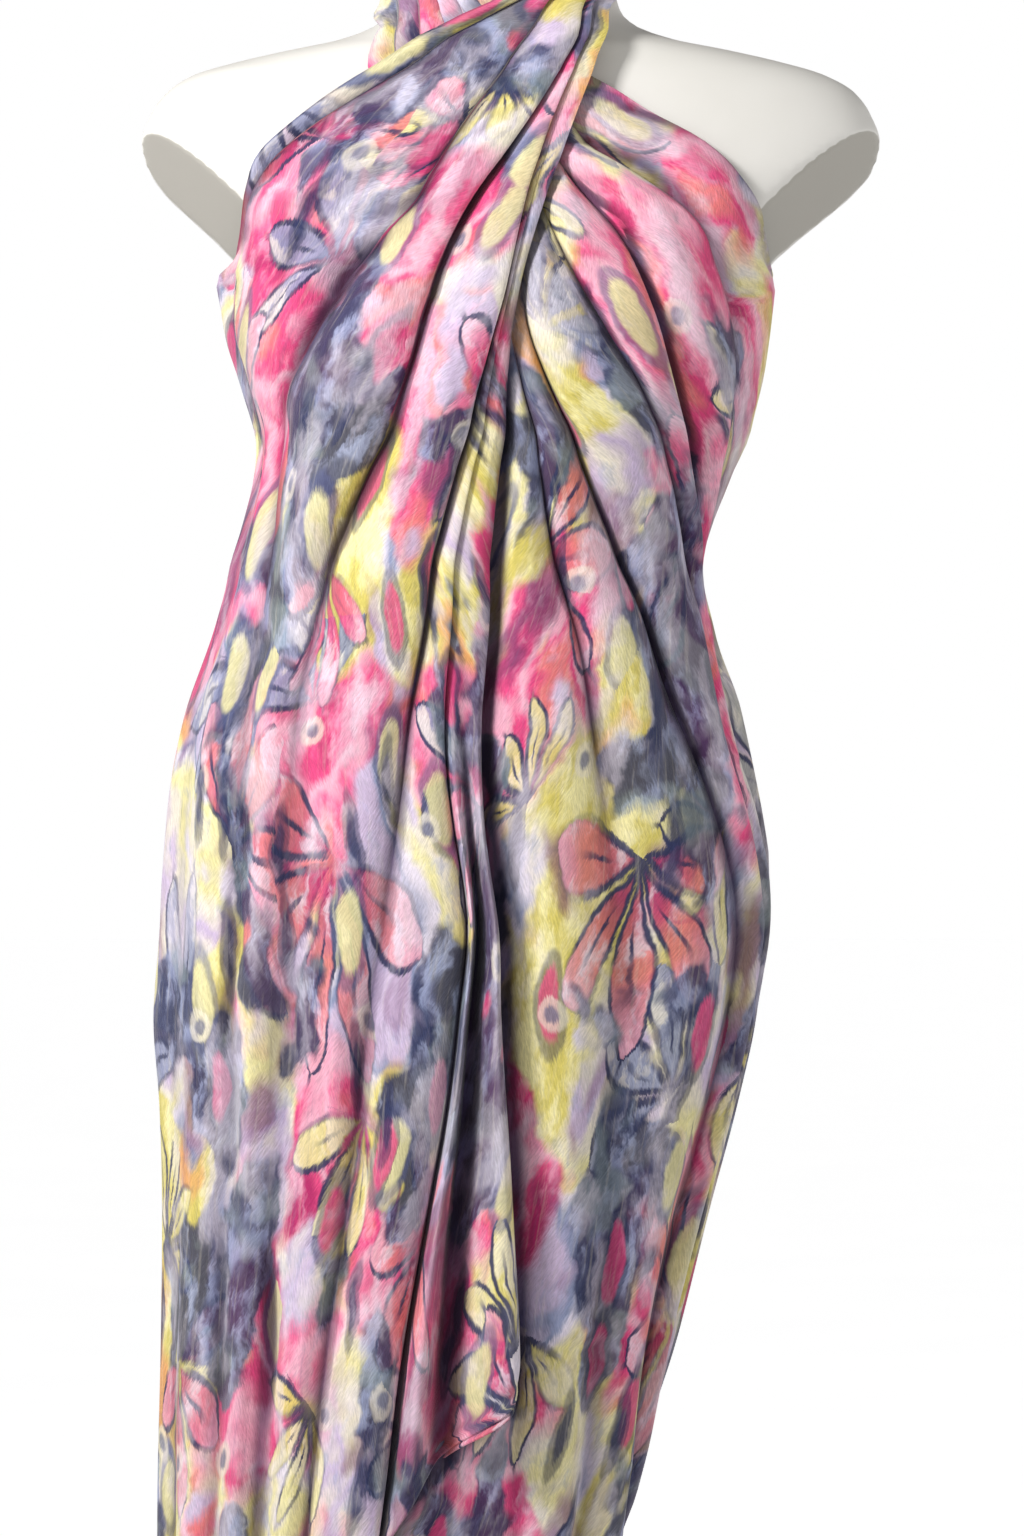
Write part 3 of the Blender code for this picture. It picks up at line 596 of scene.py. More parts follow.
def station_rows(table, at):
    """Rows of a crease or fold table, read at the sections `at`."""
    return cubic(STATIONS, np.array(table, float).T, at)


def beneath_over(points):
    """0 beneath the over panel and at its rim, rising to 1 at FREE_OF_RIM beside it."""
    rows = np.array(OVER, float)
    x, z = points[..., 0], points[..., 2]
    outer_x = clipped(rows[:, 1], rows[:, 2])
    outer = np.interp(z, rows[::-1, 2], outer_x[::-1])
    edge = np.interp(z, rows[::-1, 10], rows[::-1, 9])
    return smooth_step(np.maximum(outer - x, x - edge) / FREE_OF_RIM)


def strain_heights(points, strains):
    """Heights of small creases: a bell across each line, steeper on its leaning side, fading at both ends.

    For each point the nearest place on the line gives the distance across it, with a sign for the side, and
    the share of the line's length that lies behind it.
    """
    flat = points[..., (0, 2)]
    total = np.zeros(flat.shape[:2])
    for width, rise, lean, fade_in, fade_out, *places in strains:
        line = np.array(places, float).reshape(-1, 2)
        step = np.diff(line, axis=0)
        length = np.linalg.norm(step, axis=1)
        behind = np.concatenate([[0], np.cumsum(length)[:-1]])
        away = flat[:, :, None, :] - line[:-1]
        along = np.clip((away * step).sum(-1) / length ** 2, 0, 1)
        offset = away - along[..., None] * step
        distance = np.linalg.norm(offset, axis=-1)
        nearest = distance.argmin(-1)[..., None]
        side = np.sign(step[:, 1] * away[..., 0] - step[:, 0] * away[..., 1])
        across = np.take_along_axis(distance * side, nearest, -1)[..., 0]
        share = np.take_along_axis(behind + along * length, nearest, -1)[..., 0] / length.sum()
        steep = width * (1 - 0.8 * np.clip(lean * np.sign(across), 0, 1))
        fade = smooth_step(share / fade_in) * smooth_step((1 - share) / fade_out)
        total += rise * fade * np.exp(-(across / steep) ** 2)
    return total


def soft_waves(across, along, seed):
    """Faint undulation of limp cloth, in millimetres: a sum of a few long, slanting sine waves."""
    draw = np.random.default_rng(seed)
    waves = np.zeros_like(across)
    for _ in range(WAVES):
        length = draw.uniform(*WAVE_LENGTHS)
        slant = draw.uniform(-WAVE_SLANT, WAVE_SLANT)
        phase = draw.uniform(0, 2 * math.pi)
        waves += draw.uniform(*WAVE_RISES) * np.sin(2 * math.pi * (across + slant * along) / length + phase)
    return waves


def path_lengths(points, axis):
    """Length along the rows (axis 0) or columns (axis 1) of a grid of points, from its start."""
    step = np.linalg.norm(np.diff(points, axis=axis), axis=-1)
    start = np.zeros_like(np.take(step, [0], axis=axis))
    return np.concatenate([start, np.cumsum(step, axis=axis)], axis=axis)


def hollow(points, height):
    """How far each place lies below the mean height of its row nearby, from -1 to 1.

    The mean within a reach is the difference of the running sum of height times width at the reach's two
    ends. The deeper of the narrow and the wide comparison counts. It sets painted shade and painted
    highlights.
    """
    across = path_lengths(points, 1)
    width = np.diff(across, axis=1)
    middle = (height[:, 1:] + height[:, :-1]) / 2
    total = np.concatenate([np.zeros((len(height), 1)), np.cumsum(width * middle, axis=1)], axis=1)
    depths = []
    for reach, depth in HOLLOWS:
        mean = np.empty_like(height)
        for number, (place_across, sums) in enumerate(zip(across, total)):
            low = np.maximum(place_across - reach, 0)
            high = np.minimum(place_across + reach, place_across[-1])
            gained = np.interp(high, place_across, sums) - np.interp(low, place_across, sums)
            mean[number] = gained / (high - low)
        depths.append((mean - height) / depth)
    return np.clip(np.where(depths[0] < 0, depths[0], np.maximum(*depths)), -1, 1)


def panel_surface(table, strap, throat_first, creases, folds, softness, strains, seed, side_line,
                  free=None, band=False):
    """Outer points of a panel with its strap, with their places on the flat cloth and their hollows for
    painted shade.

    Lines run the whole length of the cloth from the nape to the hem. Folds stand between neighbouring lines,
    and the small creases and the faint undulation are added to them. Below the armpit the side line comes
    down on the plain outline within SIDE_BLEND mm, where the back meets it. With `band`, the print runs on
    unbroken over the narrow folds beside the free edge.
    """
    angle_lines, z_lines = with_strap(panel_lines(table), strap, throat_first)
    number = np.array([*range(-len(strap), 0), *(row[0] for row in table)])
    at = even_rows(angle_lines, z_lines, number, PANEL_ROWS)
    at_side = smooth_step((at - SIDE_SECTION + SIDE_LEAD) / SIDE_RUN)
    below_neck = smooth_step((at - NECK_SECTION - NECK_LEAD) / NECK_RUN)[:, None]
    rows = []
    for lines in (angle_lines, z_lines):
        raw = cubic(number, lines, at)
        soft = raw + (softened(raw) - raw) * below_neck
        soft[:, side_line] += (raw - soft)[:, side_line] * at_side
        rows.append(soft)
    fold, share = fold_columns(folds)
    angle = across_lines(rows[0], fold, share)
    z = across_lines(rows[1], fold, share)
    plain = place(OUTLINE, angle, z, 0)
    rises = station_rows([row[5:] for row in folds], at)
    soft = station_rows(softness, at)
    height = fold_heights(station_rows(creases, at), rises, soft, folds, fold, share)
    across, along = path_lengths(plain, 1), path_lengths(plain, 0)
    extra = strain_heights(plain, strains) + soft_waves(across, along, seed)
    height += extra * smooth_step((at - NECK_SECTION) / CREASE_RUN)[:, None]
    lips = fold_lips(rises * (1 - soft), folds, fold, share)
    if free is not None:
        height *= free(plain)
        lips *= free(plain)
    away = np.abs(across - across[:, side_line][:, None])
    height *= 1 - at_side[:, None] * (1 - smooth_step(away / SIDE_BLEND))
    points = place(OUTLINE, angle + lips / radius(OUTLINE, angle, z), z, height)
    across, along = print_places(points, plain, angle, fold, at, band)
    return points, across, along, hollow(points, height)


def print_places(points, plain, angle, fold, at, band):
    """Places on the flat cloth: (across, along) in millimetres, for columns of points in the given folds.

    Above, each fold has its own line down its middle. A point's distance from that line along its row, turned
    by the angle between row and line, gives its place across and along, and what a narrow fold doesn't
    show is tucked away in its creases. Below, the cloth is open: places across are the angle round the body
    times its mean radius, with the extra length that the folds take up, and places along are the drop. With
    `band`, the folds from BAND_FOLD on count as one, whose print is moved across by BAND_SHIFT.
    """
    fold = np.minimum(fold, BAND_FOLD) if band else fold
    across = path_lengths(points, 1)
    along = path_lengths(points, 0)
    count = fold[-1] + 1
    first = np.searchsorted(fold, np.arange(count))
    last = np.append(first[1:], len(fold) - 1)
    middle = (first + last) // 2
    line = points[:, middle]
    downward = np.gradient(line, axis=0)
    downward /= np.linalg.norm(downward, axis=-1, keepdims=True)
    origin = np.array([np.interp(SIDE_SECTION, at, column) for column in along.T])
    from_line = across - across[:, middle][:, fold]
    chord = points - line[:, fold]
    length = np.maximum(np.linalg.norm(chord, axis=-1), 1e-6)
    cosine = (chord * downward[:, fold]).sum(-1) / length * np.sign(from_line)
    sine = np.sqrt(np.clip(1 - cosine ** 2, 0, 1))
    width = (across[:, last] - across[:, first])[at >= SIDE_SECTION].max(axis=0)
    base = np.concatenate([[0], np.cumsum(width)[:-1]]) + width / 2
    base[-1] += BAND_SHIFT if band else 0
    folded_along = (along - origin)[:, middle][:, fold] + from_line * cosine
    folded = np.stack([base[fold] + from_line * sine, folded_along])
    extra = across - path_lengths(plain, 1)
    centre = middle[count // 2]
    opened = np.stack([MEAN_RADIUS * angle + extra - extra[:, [centre]], -points[..., 2]])
    row = np.searchsorted(at, SIDE_SECTION + OPENING / 2)
    opened += (folded - opened)[:, row, centre][:, None, None]
    return folded + (opened - folded) * smooth_step((at - SIDE_SECTION) / OPENING)[:, None]


def over_surface():
    """The over panel with the strap on the right of the neck."""
    return panel_surface(
        OVER, RIGHT_STRAP, True, OVER_CREASES, OVER_FOLDS, OVER_SOFTNESS, OVER_STRAINS,
        seed=11, side_line=0, band=True)


def under_surface():
    """The under panel with the strap on the left of the neck, lying plain where the over panel covers it, and
    with painted shadow along the over panel's edge."""
    points, across, along, depth = panel_surface(
        UNDER, LEFT_STRAP, False, UNDER_CREASES, UNDER_FOLDS, UNDER_SOFTNESS, UNDER_STRAINS,
        seed=23, side_line=-1, free=beneath_over)
    # The over panel's rim shadow is painted: it is added to the hollows, which the batik darkens.
    return points, across, along, np.minimum(depth + strain_heights(points, RIM_SHADE), 1)


def seam_places(surface, side_line, z):
    """Places on the flat cloth at the heights z of a front panel's side line."""
    points, across, along, _ = surface
    heights = points[::-1, side_line, 2]
    return [np.interp(z, heights, values[::-1, side_line]) for values in (across, along)]


def beside_back(over, under):
    """The under panel, its places shifted so that the back just fills the flat cloth between it and the
    over panel at the hip."""
    points, across, along, depth = under
    left = seam_places(over, 0, HIP)[0]
    right = seam_places(under, -1, HIP)[0]
    return points, across + left - BACK_WIDTH - right, along, depth


def back_surface(over, under):
    """The back panel: soft flutes that deepen to the hem, and smooth sides that meet the front panels.

    Its places on the flat cloth run evenly from those of one front panel's side to those of the other's.
    """
    angle = np.radians(np.linspace(90, 270, BACK_COLUMNS + 1))[None, :]
    round_back = np.sin(angle - math.pi / 2)
    top = BACK_TOP_SIDE + (BACK_TOP_CENTRE - BACK_TOP_SIDE) * round_back
    hem = HEM_SIDE + (HEM_CENTRE - HEM_SIDE) * round_back
    down = np.linspace(0, 1, BACK_ROWS + 1)[:, None]
    z = top + (hem - top) * down
    height = np.zeros_like(z)
    for flute in FLUTES:
        away = (np.degrees(angle) - flute[0]) / flute[1]
        depth = cubic(FLUTE_HEIGHTS[::-1], flute[:1:-1], z.ravel()).reshape(z.shape)
        height += depth * np.exp(-away * away)
    plain = place(OUTLINE, angle + 0 * z, z, 0)
    across, along = path_lengths(plain, 1), path_lengths(plain, 0)
    height += strain_heights(plain, BACK_STRAINS) + soft_waves(across, along, seed=37)
    height *= smooth_step(np.minimum(np.degrees(angle) - 90, 270 - np.degrees(angle)) / BACK_SIDE_BLEND)
    points = place(OUTLINE, angle + 0 * z, z, height)
    share = np.linspace(0, 1, BACK_COLUMNS + 1)[None, :]
    side_z = BACK_TOP_SIDE + (HEM_SIDE - BACK_TOP_SIDE) * down[:, 0]
    left_across, left_along = seam_places(over, 0, side_z)
    right_across, right_along = seam_places(under, -1, side_z)
    place_across = right_across[:, None] * (1 - share) + left_across[:, None] * share
    place_along = right_along[:, None] * (1 - share) + left_along[:, None] * share
    # The hollows of the flutes give painted shade in their troughs and painted highlights on their crests.
    return points, place_across, place_along, hollow(points, height)


def tail_surface(table):
    """A tail that hangs from the knot: three flutes across, widening to a slanting tip."""
    rows = np.array(table, float)[::-1]
    z = np.linspace(rows[-1, 0], rows[0, 0], TAIL_ROWS + 1)
    angle, half_width, stand_off = cubic(rows[:, 0], rows[:, 1:], z).T
    across = np.linspace(-1, 1, TAIL_COLUMNS + 1)
    reach = radius(OUTLINE, np.radians(angle), z)
    turn = np.radians(angle)[:, None] + across * (half_width / reach)[:, None]
    down = np.linspace(0, 1, TAIL_ROWS + 1)[:, None]
    flutes = TAIL_RISE * np.cos(math.pi * TAIL_FOLDS * across + 0.8 * down)
    raised = z[:, None] + TAIL_SLANT * np.abs(across) * down
    points = place(OUTLINE, turn, raised, stand_off[:, None] + flutes)
    place_across = across * half_width[:, None] * TAIL_FULLNESS
    # The hollows of the flutes give painted shade in their troughs and painted highlights on their crests.
    return points, place_across, path_lengths(points, 0), hollow(points, flutes)


def knot_surface():
    """The nape knot: an egg-shaped lump, with grooves wound round it and two wraps that cross.

    Its radius is that of the egg, less a narrow groove wherever the winding angle passes a whole turn.
    """
    turn = np.linspace(0, 2 * math.pi, KNOT_COLUMNS)[None, :]
    down = np.linspace(0.02, math.pi - 0.02, KNOT_ROWS)[:, None]
    x = np.sin(down) * np.sin(turn)
    y = -np.sin(down) * np.cos(turn)
    z = np.cos(down) + 0 * turn
    winding = 2.2 * z + 0.9 * x + 0.35 * np.sin(3 * turn)
    wraps = np.abs(np.sin(math.pi * winding)) ** 0.6
    reach = 0.90 + 0.12 * wraps
    points = np.stack([x, y, z], axis=-1) * reach[..., None] * KNOT_HALF + KNOT_CENTRE
    # The last value is painted shade in the grooves and painted highlight on the wraps' crests.
    return points, 40 * turn / math.pi + 0 * down, 14 * down + 0 * turn, 0.8 - 1.2 * wraps


def grid_faces(rows, columns, closed=False):
    """Quads of a grid of points, facing outwards where rows go down and columns go to the right."""
    number = np.arange(rows * columns).reshape(rows, columns)
    right = np.roll(number, -1, axis=1) if closed else number[:, 1:]
    left = number if closed else number[:, :-1]
    corners = [left[:-1], left[1:], right[1:], right[:-1]]
    return np.stack(corners, axis=-1).reshape(-1, 4)


def closed_faces(rows, steps):
    """Faces of rings of points, closed at both ends by fans to the two points that follow the rings."""
    count = rows * steps
    around = np.arange(steps)
    following = np.roll(around, -1)
    last = count - steps
    top = np.stack([np.full(steps, count), around, following], axis=-1)
    bottom = np.stack([np.full(steps, count + 1), last + following, last + around], axis=-1)
    return grid_faces(rows, steps, closed=True).tolist() + top.tolist() + bottom.tolist()


def add_mesh(name, points, faces, look):
    """A mesh object of points in millimetres, shaded smooth, with one material."""
    mesh = bpy.data.meshes.new(name)
    mesh.from_pydata((np.asarray(points).reshape(-1, 3) * MM).tolist(), [], [list(face) for face in faces])
    mesh.shade_smooth()
    mesh.materials.append(look)
    piece = bpy.data.objects.new(name, mesh)
    bpy.context.scene.collection.objects.link(piece)
    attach(piece, "root")
    return piece


def add_cloth(name, surface, look):
    """A shell of cloth on the given surface, carrying its places on the flat cloth and its hollows for
    painted shade.
    """
    points, across, along, depth = surface
    piece = add_mesh(name, points, grid_faces(*points.shape[:2]).tolist(), look)
    flat = np.stack([across * MM, along * MM, depth], axis=-1).astype(np.float32)
    places = piece.data.attributes.new("cloth_place_and_shade", "FLOAT_VECTOR", "POINT")
    places.data.foreach_set("vector", flat.ravel())
    wall = piece.modifiers.new("wall", "SOLIDIFY")
    wall.thickness = CLOTH_THICKNESS * MM
    wall.offset = -1
    return piece


def add_round(name, profile, centre, look, steps=128):
    """A turned piece: a profile of (radius, z) from its top to its bottom, carried round an upright axis.

    A radius of 0 at the ends becomes one point, which closes the piece there.
    """
    profile = np.array(profile, float)
    angle = np.linspace(0, 2 * math.pi, steps, endpoint=False)
    reach, z = profile[:, :1], profile[:, 1:]
    x = centre[0] + reach * np.sin(angle)
    y = centre[1] - reach * np.cos(angle)
    points = np.stack([x, y, z + 0 * angle], axis=-1)
    open_rows = points[1:-1]
    faces = closed_faces(len(open_rows), steps)
    ends = [(centre[0], centre[1], profile[0, 1]), (centre[0], centre[1], profile[-1, 1])]
    piece = add_mesh(name, np.vstack([open_rows.reshape(-1, 3), ends]), faces, look)
    return piece


def rounded(corners, size):
    """A profile whose inner corners are rounded by quadratic arcs that start `size` before each corner."""
    corners = [np.array(corner, float) for corner in corners]
    result = [corners[0]]
    for before, corner, after in zip(corners, corners[1:], corners[2:]):
        back = before - corner
        onward = after - corner
        reach = min(size, 0.45 * np.linalg.norm(back), 0.45 * np.linalg.norm(onward))
        start = corner + back / np.linalg.norm(back) * reach
        end = corner + onward / np.linalg.norm(onward) * reach
        for t in np.linspace(0, 1, ARC_POINTS):
            result.append((1 - t) ** 2 * start + 2 * t * (1 - t) * corner + t * t * end)
    result.append(corners[-1])
    return result


class Nodes:
    """Short ways to add nodes to a tree and to join them."""

    def __init__(self, tree):
        self.tree = tree

    def feed(self, socket, value):
        """Give a socket a number, a colour, or another node's output."""
        if isinstance(value, bpy.types.NodeSocket):
            self.tree.links.new(value, socket)
        elif isinstance(value, tuple) and len(value) == 3 and socket.type == "RGBA":
            socket.default_value = (*value, 1.0)
        else:
            socket.default_value = value

    def node(self, kind, inputs, **settings):
        """A node of this kind, with its settings and the values or outputs for its inputs."""
        made = self.tree.nodes.new(kind)
        for name, value in settings.items():
            setattr(made, name, value)
        for name, value in inputs.items():
            self.feed(made.inputs[name], value)
        return made

    def math(self, operation, *values):
        """One step of arithmetic on numbers."""
        return self.node("ShaderNodeMath", dict(enumerate(values)), operation=operation).outputs[0]

    def vector(self, operation, *values):
        """One step of arithmetic on vectors."""
        made = self.node("ShaderNodeVectorMath", dict(enumerate(values)), operation=operation)
        return made.outputs["Value" if operation == "LENGTH" else "Vector"]

    def soft(self, value, low, high, start=0.0, end=1.0):
        """A smooth step of value from low to high."""
        inputs = {"Value": value, "From Min": low, "From Max": high, "To Min": start, "To Max": end}
        return self.node("ShaderNodeMapRange", inputs, interpolation_type="SMOOTHSTEP").outputs[0]

    def mix(self, share, first, second, blend="MIX"):
        """Two colours mixed."""
        made = self.tree.nodes.new("ShaderNodeMix")
        made.data_type = "RGBA"
        made.blend_type = blend
        self.feed(made.inputs[0], share)
        self.feed(made.inputs[6], first)
        self.feed(made.inputs[7], second)
        return made.outputs[2]

    def noise(self, vector, scale, detail=2.0, roughness=0.5, dimensions="2D", output=0):
        """Cloudy noise."""
        inputs = {"Vector": vector, "Scale": scale, "Detail": detail, "Roughness": roughness}
        return self.node("ShaderNodeTexNoise", inputs, noise_dimensions=dimensions).outputs[output]

    def cells(self, vector, scale, feature="F1", randomness=1.0):
        """A cell pattern, as its node."""
        inputs = {"Vector": vector, "Scale": scale, "Randomness": randomness}
        return self.node("ShaderNodeTexVoronoi", inputs, voronoi_dimensions="2D", feature=feature)

    def ramp(self, value, stops):
        """Colours at places from 0 to 1, read at the value."""
        made = self.node("ShaderNodeValToRGB", {"Fac": value})
        made.color_ramp.interpolation = "EASE"
        steps = made.color_ramp.elements
        while len(steps) < len(stops):
            steps.new(0.5)
        for step, (where, colour) in zip(steps, stops):
            step.position = where
            step.color = (*colour, 1.0)
        return made.outputs[0]

    def shifted(self, vector, x, y):
        """The vector moved by (x, y)."""
        return self.vector("ADD", vector, (x, y, 0.0))

    def squeezed(self, vector, along, across=1.0):
        """The vector times (across, along). A small `along` draws a pattern out along the cloth."""
        return self.vector("MULTIPLY", vector, (across, along, 0.0))

    def times(self, first, second):
        """The product of two numbers."""
        return self.math("MULTIPLY", first, second)

    def split(self, vector, kind="XYZ"):
        """The three parts of a vector, or of a colour."""
        return self.node("ShaderNodeSeparate" + kind, {0: vector}).outputs

    def object_place(self):
        """Object coordinates."""
        return self.node("ShaderNodeTexCoord", {}).outputs["Object"]


class Finish(Nodes):
    """A Principled material and its nodes."""

    def __init__(self, name, roughness, **values):
        self.material = bpy.data.materials.new(name)
        self.material.use_nodes = True
        super().__init__(self.material.node_tree)
        self.shader = self.tree.nodes["Principled BSDF"]
        self.shader.inputs["Roughness"].default_value = roughness
        for socket, value in values.items():
            self.shader.inputs[socket.replace("_", " ")].default_value = value

    def colour(self, value):
        """Set the base colour."""
        self.feed(self.shader.inputs["Base Color"], value)

    def bump(self, height, strength, distance):
        """A bump of the height on the shader's normal."""
        made = self.node("ShaderNodeBump", {"Height": height, "Strength": strength, "Distance": distance})
        self.feed(self.shader.inputs["Normal"], made.outputs[0])


def dye(red, green, blue):
    """A colour given as it looks on screen, 0 to 255, made linear."""
    values = np.array([red, green, blue]) / 255
    linear = np.where(values <= 0.04045, values / 12.92, ((values + 0.055) / 1.055) ** 2.4)
    return tuple(float(value) for value in linear)


HOT_PINK = dye(230, 74, 130)
MAGENTA = dye(184, 44, 104)
CORAL = dye(234, 122, 124)
ROSE = dye(238, 172, 192)
PALE_YELLOW = dye(236, 226, 164)
OLIVE_YELLOW = dye(222, 206, 108)
ORANGE = dye(232, 168, 104)
CREAM = dye(236, 226, 208)
LILAC = dye(204, 184, 212)
MIST = dye(226, 216, 228)
BLUE_GREY = dye(140, 148, 180)
GREY_GREEN = dye(150, 166, 166)
NAVY = dye(44, 50, 88)
SLATE = dye(88, 94, 130)
PLUM = dye(128, 72, 112)
SHADE = dye(96, 82, 112)
# A whole turn of a flower's petals, in radians.
FULL_TURN = 6.2832
# Drops, spots and brush strokes.
# Columns: cells a metre, squeeze along the cloth, share of cells left bare, size, colour, rim colour.
MARKS = (
    (30.0, 0.36, 0.82, 0.26, PALE_YELLOW, SLATE),
    (34.0, 0.32, 0.84, 0.26, HOT_PINK, NAVY),
    (25.0, 0.85, 0.93, 0.14, SLATE, CREAM),
    (44.0, 0.20, 0.78, 0.17, NAVY, NAVY),
)


def petals(finish, at, scale, count, length, shift, stretch, kept, half):
    """Scattered flowers: their fill, outline and veins as masks, the share outwards and a random amount.

    The plane is cut in cells, and the share `kept` of them bear a flower. Round the cell's own point the
    angle is turned by a random amount and repeated `count` times, and a petal's half width swells and
    closes again along the radius. Only the share `half` of the circle bears petals, as a fan. The pattern
    is moved by `shift` and squeezed by `stretch`, along and across the cloth.
    """
    moved = finish.squeezed(finish.shifted(at, *shift), *stretch)
    cell = finish.cells(moved, scale, randomness=0.85)
    away = finish.vector("SUBTRACT", moved, cell.outputs["Position"])
    parts = finish.split(away)
    chance = finish.split(cell.outputs["Color"], "Color")
    reach = finish.vector("LENGTH", away)
    turn = finish.math("ARCTAN2", parts[1], parts[0])
    turn = finish.math("MULTIPLY_ADD", chance[0], FULL_TURN, turn)
    sector = finish.math("FRACT", finish.math("MULTIPLY_ADD", turn, count / FULL_TURN, 20.0))
    aside = finish.math("ABSOLUTE", finish.math("SUBTRACT", sector, 0.5))
    size = finish.math("MULTIPLY_ADD", chance[2], 0.45 * length, 0.65 * length)
    out = finish.math("DIVIDE", reach, size)
    swell = finish.math("SINE", finish.times(finish.math("POWER", out, 0.8), math.pi))
    swell = finish.times(finish.math("POWER", finish.math("MAXIMUM", swell, 0.0), 0.6), 0.40)
    arc = finish.times(reach, FULL_TURN / count)
    within = finish.times(finish.math("SUBTRACT", swell, aside), arc)
    present = finish.times(finish.math("LESS_THAN", chance[1], kept), finish.soft(out, 1.12, 1.0))
    whole = finish.math("FRACT", finish.math("MULTIPLY_ADD", turn, 1 / FULL_TURN, 20.0))
    present = finish.times(present, finish.math("LESS_THAN", whole, half))
    fill = finish.times(finish.soft(within, -0.0004, 0.0014), present)
    rim = finish.math("SUBTRACT", finish.soft(within, -0.0022, -0.0006), finish.soft(within, 0.0008, 0.0026))
    rim = finish.times(rim, present)
    vein = finish.times(finish.soft(aside, 0.07, 0.02), finish.soft(out, 0.25, 0.40))
    vein = finish.times(finish.times(vein, finish.soft(out, 0.8, 0.5)), present)
    return fill, rim, vein, out, chance[2]


def batik_finish():
    """Soft rayon dyed by hand: washes of colour that run into each other and along the cloth, scattered
    flowers and sprays of leaves edged with navy, spots, a pale veil, brushed fibres, painted shade in the
    creases and painted highlights on the crests."""
    finish = Finish("batik_rayon", 0.88, Sheen_Weight=0.18, Sheen_Roughness=0.5, Specular_IOR_Level=0.2)
    given = finish.node("ShaderNodeAttribute", {}, attribute_name="cloth_place_and_shade").outputs["Vector"]
    parts = finish.split(given)
    plain = finish.node("ShaderNodeCombineXYZ", {0: parts[0], 1: parts[1]}).outputs[0]
    # The third part is painted shade where positive (creases, hollows, rim shadow) and painted highlight
    # where negative (crests).
    fold_shading = parts[2]

    # Fibres lie brushed in two slanting directions, which take turns over the cloth.
    patch = finish.soft(finish.noise(finish.shifted(plain, 2.2, 6.1), 11.0, 1.0), 0.44, 0.56)
    brushed = []
    for degrees in (20, -32):
        turn = (0.0, 0.0, math.radians(degrees))
        turned = finish.node("ShaderNodeMapping", {"Vector": plain, "Rotation": turn}).outputs[0]
        brushed.append(finish.squeezed(turned, 0.16))
    strands = [finish.noise(lie, 1000.0, 3.0, 0.65) for lie in brushed]
    streak = finish.math("MULTIPLY_ADD", patch, finish.math("SUBTRACT", strands[1], strands[0]), strands[0])

    # Places are pushed about widely, finely and along the fibres, so that every edge runs like wet dye.
    pushes = []
    for scale, push in ((6.0, 0.045), (60.0, 0.006)):
        cloud = finish.vector("SUBTRACT", finish.noise(plain, scale, 3.0, 0.55, "2D", 1), (0.5, 0.5, 0.5))
        pushes.append(finish.squeezed(cloud, push, push))
    pull = finish.math("SUBTRACT", streak, 0.5)
    pulled = finish.node("ShaderNodeCombineXYZ", {0: finish.times(pull, 0.0015),
                                                 1: finish.times(pull, 0.0050)}).outputs[0]
    calm = finish.vector("ADD", finish.vector("ADD", plain, pushes[0]), pulled)
    calm = finish.vector("ADD", calm, finish.squeezed(pushes[1], 0.6, 0.6))
    at = finish.vector("ADD", calm, pushes[1])
    drawn = finish.squeezed(at, 0.66, 1.15)

    def field(x, y, scale, roughness=0.5):
        """Soft patches, drawn out along the cloth."""
        return finish.noise(finish.shifted(drawn, x, y), scale, 3.0, roughness)

    mottle = finish.noise(finish.squeezed(at, 0.42), 60.0, 4.0, 0.62)
    cloud = finish.noise(finish.shifted(at, 6.4, 0.8), 21.0, 2.0, 0.5)
    wash = field(3.1, 1.7, 11.0)
    cloth = finish.ramp(wash, (
        (0.28, CREAM), (0.37, LILAC), (0.44, CREAM), (0.50, PALE_YELLOW), (0.56, MIST), (0.61, BLUE_GREY),
        (0.67, LILAC)))
    cloth = finish.mix(finish.soft(mottle, 0.52, 0.70, 0.0, 0.5), cloth, BLUE_GREY)

    yellow = finish.mix(finish.soft(mottle, 0.40, 0.64), OLIVE_YELLOW, PALE_YELLOW)
    yellow = finish.mix(finish.soft(wash, 0.57, 0.66), yellow, ORANGE)
    cloth = finish.mix(finish.soft(field(7.3, 2.9, 8.5), 0.500, 0.550), cloth, yellow)

    blush = finish.noise(finish.shifted(drawn, 5.5, 4.4), 16.0, 2.0, 0.5)
    pink = finish.ramp(blush, (
        (0.28, MAGENTA), (0.40, HOT_PINK), (0.50, ROSE), (0.57, HOT_PINK), (0.65, CORAL), (0.74, LILAC)))
    pink = finish.mix(finish.soft(mottle, 0.50, 0.70, 0.0, 0.5), pink, ROSE)
    cloth = finish.mix(finish.soft(field(1.9, 8.2, 7.5), 0.492, 0.540), cloth, pink)

    cloth = finish.mix(finish.soft(field(9.1, 6.6, 14.0), 0.56, 0.68, 0.0, 0.75), cloth, PLUM)

    # Leaf sprays, then flowers.
    ink = finish.soft(cloud, 0.38, 0.56, 0.25, 0.95)
    fill, rim, vein, out, luck = petals(finish, calm, 7.4, 9, 0.066, (2.2, 0.4), (0.72, 1.30), 0.75, 0.45)
    leaf = finish.mix(finish.soft(out, 0.3, 0.9), OLIVE_YELLOW, PALE_YELLOW)
    leaf = finish.mix(finish.soft(luck, 0.55, 0.60), leaf, BLUE_GREY)
    leaf = finish.mix(finish.soft(mottle, 0.48, 0.62, 0.0, 0.6), leaf, CREAM)
    cloth = finish.mix(finish.times(fill, 0.88), cloth, leaf)
    cloth = finish.mix(finish.times(finish.math("MAXIMUM", rim, vein), ink), cloth, NAVY)

